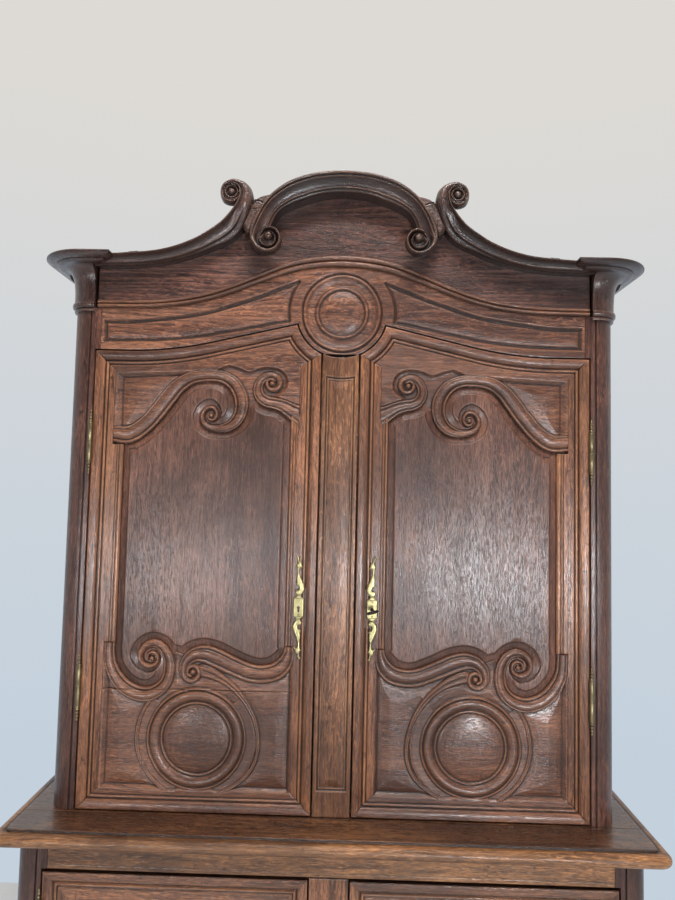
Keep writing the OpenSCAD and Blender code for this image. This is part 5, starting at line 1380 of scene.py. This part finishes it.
su, pu = hinge_set(593, yU, [T + 280, T + 853])
sl_, pl_ = hinge_set(640, yL, [300, 700])
make("right_door_hinge_barrels", su, hinge_brass, "right_door", ["right_door_hinge_sleeves"], angle=40)
make("left_door_hinge_barrels", [p.mirrored() for p in su], hinge_brass, "left_door", ["left_door_hinge_sleeves"], angle=40)
make("lower_right_door_hinge_barrels", sl_, hinge_brass, "lower_right_door", ["lower_right_door_hinge_sleeves"], angle=40)
make("lower_left_door_hinge_barrels", [p.mirrored() for p in sl_], hinge_brass, "lower_left_door", ["lower_left_door_hinge_sleeves"], angle=40)
allp = pu + pl_
make("hinge_pins_and_leaves", allp + [p.mirrored() for p in allp], hinge_brass, "root", ["hinge_pins"], angle=40)

# ------------------------------------------------------------------ fretted lock plates
ORN = [(-5.3, 27.5), (-5.3, 29.5), (-8.0, 33), (-8.2, 36.5), (-6.9, 39.4), (-4.4, 40.6), (-1.6, 40.8), (0.2, 42.2), (0.6, 44.4), (-0.2, 47.4), (-2.2, 49.4), (-4.5, 50.6), (-6.6, 52.6), (-7.9, 54.8), (-5.7, 57.4), (-6.3, 63.3), (-6.2, 70), (-5.5, 75), (-4.3, 79),
       (-4.6, 83), (-5.4, 88), (-5.6, 92.7), (-6.9, 96.6), (-9.6, 97.8), (-7.4, 99.8), (-5.6, 101.8), (-4.5, 105.5), (-4.9, 110.4), (-6.6, 113.2), (-8.4, 115.6), (-7.6, 118.6), (-4.9, 119.6), (-2.2, 118), (-1.0, 115), (-0.4, 111), (-0.2, 107.4),
       (2.9, 106.2), (5.4, 103.4), (5.9, 99), (7.6, 95), (9.9, 92.2), (5.2, 93.0), (2.6, 92.2), (1.0, 90), (0.4, 86.8), (0.4, 82), (1.4, 77.6), (4.4, 69.6), (7.6, 62.6), (10.6, 55.4), (12.8, 48), (13.0, 42), (11.4, 36.8), (8.6, 32.6), (6.0, 29.6), (5.9, 27.5)]
PLATE = [(-5.0, 27.8), (-6.0, 25.0), (-9.4, 23.0), (-12.6, 20.2), (-12.6, -20.2), (-9.4, -23.0), (-6.0, -25.0), (-5.0, -27.8), (5.0, -27.8), (6.0, -25.0), (9.4, -23.0), (12.6, -20.2), (12.6, 20.2), (9.4, 23.0), (6.0, 25.0), (5.0, 27.8)]
BRH = table([(0, -2.2), (0.4, -1.2), (0.9, -0.5), (1.8, 0.1), (3.0, 0.5), (5.5, 0.7), (30, 0.7)], 0.2)


def lock_plate(side, kz, yf):
    xs, zs = axis((-16, 16, 0.5)), axis((-122, 122, 0.5))
    X, Z = np.meshgrid(xs, zs)
    up_ = np.array(ORN, float)
    u = crom(np.vstack([up_, up_[:1]]), 3)[:-1]
    fu = sdpoly(X, Z, u, 12)
    fd = sdpoly(-X, -Z, u, 12)
    fp = sdpoly(X, Z, PLATE, 14)
    F = np.maximum.reduce([fu, fd, fp])
    hole = np.minimum(np.hypot(X, Z) - 3.6, np.maximum(np.abs(X) - 2.0, np.maximum(Z, -10.6 - Z)))
    keyf = np.minimum(np.hypot(X, Z) - 3.65, np.maximum(np.abs(X) - 2.05, np.maximum(Z - 0, -10.6 - Z)))
    H = BRH(np.clip(F, 0, 30))
    H = np.where((fp > 0), np.minimum(BRH(np.clip(fp, 0, 30)), 0.3) - 0.5 * np.exp(-((np.abs(Z) - 20.6) / 0.45) ** 2), H)
    # a vein down each leaf
    vein = crom([(2.5, 36, 1.2), (6.2, 46, 1.2), (3.6, 58, 1.1), (-0.6, 68, 1.0), (-2.2, 80, 0.8), (-2.4, 92, 0.7), (-0.2, 101, 0.7)], 6)
    for sgn in (1, -1):
        d = np.full(X.shape, 9.0)
        for a, b in zip(vein[:-1], vein[1:]):
            dx, dz = b[0] - a[0], b[1] - a[1]
            t = np.clip(((sgn * X - a[0]) * dx + (sgn * Z - a[1]) * dz) / (dx * dx + dz * dz), 0, 1)
            d = np.minimum(d, np.hypot(sgn * X - a[0] - t * dx, sgn * Z - a[1] - t * dz))
        H = H - 0.45 * np.exp(-(d / 0.55) ** 2)
    for pz in (16.4, -16.8):
        rr = np.hypot(X, Z - pz)
        H = np.where(rr < 2.0, 0.3 + 0.8 * np.sqrt(np.clip(1 - (rr / 2.0) ** 2, 0, 1)), H - 0.35 * np.exp(-((rr - 2.2) / 0.3) ** 2))
    F = np.minimum(F, keyf)
    p = relief(xs + 86, zs + kz, F, H, yf - 2.3, yf - 0.05, "z", cavity=2.2, outline_dirt_and_shade=0.1)
    if side < 0:
        # the left plate is the one drawn above; the right one is its mirror image
        pass
    V = p.V.copy()
    V[:, 0] = V[:, 0] - 86
    if side < 0:
        V[:, 0] = V[:, 0] - 86
        p.V = V
        return p
    V[:, 0] = -V[:, 0] + 86
    p.V = V
    p.Q = p.Q[:, ::-1]
    p.N = [f[::-1] for f in p.N]
    return p


make("left_lock_plate", [lock_plate(-1, T + 475, yU)], brass, "left_door", ["left_door_escutcheon"])
make("right_lock_plate", [lock_plate(1, T + 475, yU)], brass, "right_door", ["right_door_escutcheon"])
make("lower_left_lock_plate", [lock_plate(-1, 520, yL)], brass, "lower_left_door", ["lower_left_door_escutcheon"])
make("lower_right_lock_plate", [lock_plate(1, 520, yL)], brass, "lower_right_door", ["lower_right_door_escutcheon"])

# ------------------------------------------------------------------ key: ring bow seen on edge, collar, stem, bit
kx, kz = 86.0, T + 475
stem = lathe(0, 0, 0, [(1.2, yU + 18), (2.6, yU + 17.6), (3.0, yU + 16.6), (3.0, yU - 9), (3.3, yU - 9.6), (4.3, yU - 10.4), (4.5, yU - 12.4), (4.3, yU - 14.2), (3.2, yU - 15), (2.8, yU - 16), (2.7, yU - 21), (3.6, yU - 22), (3.9, yU - 23.6), (3.4, yU - 25), (2.6, yU - 26), (2.2, yU - 28.2)], "y", 24)
bow = []
for a in np.linspace(0, 2 * math.pi, 40, endpoint=False):
    c_, s_ = math.cos(a), math.sin(a)
    rr = 11.6 + 0.5 * math.cos(2 * a)
    sec = []
    for b in np.linspace(0, 2 * math.pi, 12, endpoint=False):
        w_ = 2.2 + 0.35 * math.cos(a)
        rad = rr + w_ * math.cos(b)
        sec.append((rad * c_, yU - 41 + rad * s_, 2.0 * math.sin(b)))
    bow.append(sec)
bowp = loft(bow, ring=True, cav=False)
bit = extrude([(0.5, yU + 10.7), (9.3, yU + 10.7), (9.3, yU + 13.0), (6.6, yU + 13.0), (6.6, yU + 14.4), (9.3, yU + 14.4), (9.3, yU + 17.3), (0.5, yU + 17.3)], lambda a, b, t: (a, b, t), -1.2, 1.2, 0.3)
ct, st_ = math.cos(math.radians(15)), math.sin(math.radians(15))
for p in (stem, bowp, bit):
    V = p.V.copy()
    p.V = np.stack([V[:, 0] * ct - V[:, 2] * st_ + kx, V[:, 1], V[:, 0] * st_ + V[:, 2] * ct + kz], -1)
make("door_key", [stem, bowp, bit], iron, "key", ["key"], angle=45)

# ------------------------------------------------------------------ carried-over nodes get their finish
finish = {
    "base_back_posts": outer_z, "base_side_rails": outer_y, "upper_back_posts": outer_z, "upper_side_rails": outer_y,
    "base_back": inside_z, "upper_back": inside_z, "base_floor_board": inside_x, "upper_floor_board": inside_x,
    "upper_top_board": inside_x, "shelves": inside_x, "shelf_cleats": inside_y,
}
for n_, o_ in nodes.items():
    if o_.hide_render:
        continue
    m_ = finish.get(n_)
    if m_ is None:
        m_ = iron_cad
    o_.data.materials.clear()
    o_.data.materials.append(m_)
    if m_ is not iron_cad:
        bv = o_.modifiers.new("soft_edges", "BEVEL")
        bv.width = 0.0012
        bv.segments = 2
        bv.limit_method = "ANGLE"
        bv.angle_limit = math.radians(50)

# ------------------------------------------------------------------ studio
world = bpy.data.worlds.new("Studio")
bpy.context.scene.world = world
world.use_nodes = True
nt = world.node_tree
nt.nodes.clear()
out = nt.nodes.new("ShaderNodeOutputWorld")
bg = nt.nodes.new("ShaderNodeBackground")
nt.links.new(bg.outputs[0], out.inputs[0])
tc = nt.nodes.new("ShaderNodeTexCoord").outputs["Generated"]
sp_ = nt.nodes.new("ShaderNodeSeparateXYZ")
nt.links.new(tc, sp_.inputs[0])
# behind the buffet the pale wall, on the viewer's side a slightly dimmer room
wall = ramp(nt, val(nt, "ADD", val(nt, "MULTIPLY", sp_.outputs[2], 0.9), 0.3), [(0.0, (0.55, 0.635, 0.72)), (0.42, (0.63, 0.665, 0.70)), (0.75, (0.72, 0.70, 0.665)), (1.0, (0.72, 0.70, 0.665))])
room = ramp(nt, val(nt, "ADD", val(nt, "MULTIPLY", sp_.outputs[2], 0.5), 0.5), [(0.0, (0.40, 0.41, 0.42)), (0.5, (0.45, 0.46, 0.47)), (1.0, (0.50, 0.50, 0.50))])
side_f = val(nt, "ADD", val(nt, "MULTIPLY", sp_.outputs[1], 2.5), 0.5, True)
nt.links.new(mixc(nt, side_f, room, wall), bg.inputs["Color"])
bg.inputs["Strength"].default_value = 1.0

fl = bpy.data.meshes.new("floor")
fl.from_pydata([(-1.6, -1.45, -0.001), (1.6, -1.45, -0.001), (1.6, 1.1, -0.001), (-1.6, 1.1, -0.001)], [], [(0, 1, 2, 3)])
floor = bpy.data.objects.new("floor", fl)
bpy.context.scene.collection.objects.link(floor)
fm, fnt, fbs = new_mat("Floor")
fn = noise(fnt, vscale(fnt, N(fnt, "ShaderNodeTexCoord").outputs["Object"], 1.5, 1.5, 1.5), 1.0, 3)
fnt.links.new(ramp(fnt, fn, [(0.3, (0.60, 0.61, 0.62)), (0.7, (0.66, 0.67, 0.68))]), fbs.inputs["Base Color"])
fbs.inputs["Roughness"].default_value = 0.7
fl.materials.append(fm)

# a dark studio card behind the lights keeps the gloss of the wood clear; the camera looks past it
cd = bpy.data.meshes.new("dark_card")
cd.from_pydata([(-5.2, -5.4, -1.6), (5.2, -5.4, -1.6), (5.2, -5.4, 5.6), (-5.2, -5.4, 5.6)], [], [(0, 1, 2, 3)])
card = bpy.data.objects.new("dark_card", cd)
bpy.context.scene.collection.objects.link(card)
km, knt, kbs = new_mat("Card")
kn = noise(knt, vscale(knt, N(knt, "ShaderNodeTexCoord").outputs["Object"], 3, 3, 3), 1.0, 3)
knt.links.new(ramp(knt, kn, [(0.3, (0.030, 0.030, 0.032)), (0.7, (0.040, 0.040, 0.042))]), kbs.inputs["Base Color"])
kbs.inputs["Roughness"].default_value = 0.9
cd.materials.append(km)
card.visible_camera = False


def area(name, loc, target, sx, sy, power, col, gloss=True):
    d = bpy.data.lights.new(name, "AREA")
    d.shape = "RECTANGLE"
    d.size, d.size_y = sx, sy
    d.energy = power
    d.color = col
    o_ = bpy.data.objects.new(name, d)
    bpy.context.scene.collection.objects.link(o_)
    o_.location = loc
    dirv = Vector(target) - Vector(loc)
    o_.rotation_euler = dirv.to_track_quat("-Z", "Y").to_euler()
    o_.visible_glossy = gloss
    return o_


area("window_left", (-1.45, -4.0, 0.95), (-0.3, 0, 1.4), 0.7, 0.7, 38, (0.95, 0.97, 1.0))
area("window_right", (1.18, -4.0, 1.00), (0.3, 0, 1.4), 0.5, 0.6, 80, (0.93, 0.96, 1.0))
area("ceiling", (0.5, -1.9, 4.1), (0, 0, 1.2), 1.2, 0.9, 116, (1.0, 0.975, 0.94), gloss=False)
area("ceiling_lamp", (0.1, -1.2, 3.7), (0, 0, 1.5), 1.0, 0.25, 26, (1.0, 0.98, 0.95))
area("room", (-0.6, -4.6, 2.0), (0, 0, 1.4), 4.4, 2.6, 62, (1.0, 0.98, 0.96), gloss=False)

# ------------------------------------------------------------------ camera, as solved from the photo
yaw, pitch, roll = math.radians(-1.05), math.radians(3.57), math.radians(1.33)
fwd = Vector((math.sin(yaw) * math.cos(pitch), math.cos(yaw) * math.cos(pitch), math.sin(pitch)))
right = Vector((math.cos(yaw), -math.sin(yaw), 0))
upv = right.cross(fwd)
r2 = right * math.cos(roll) + upv * math.sin(roll)
u2 = -right * math.sin(roll) + upv * math.cos(roll)
cam_d = bpy.data.cameras.new("camera")
cam_d.sensor_fit = "AUTO"
cam_d.sensor_width = 36.0
cam_d.lens = 26.0
cam_d.clip_start = 0.05
cam_d.clip_end = 60
cam = bpy.data.objects.new("camera", cam_d)
bpy.context.scene.collection.objects.link(cam)
rot = Matrix((r2, u2, -fwd)).transposed()
cam.matrix_world = Matrix.Translation((0.025, -1.708, 1.670)) @ rot.to_4x4()
bpy.context.scene.camera = cam

bpy.context.view_layer.update()
bpy.context.scene.view_settings.view_transform = "Standard"
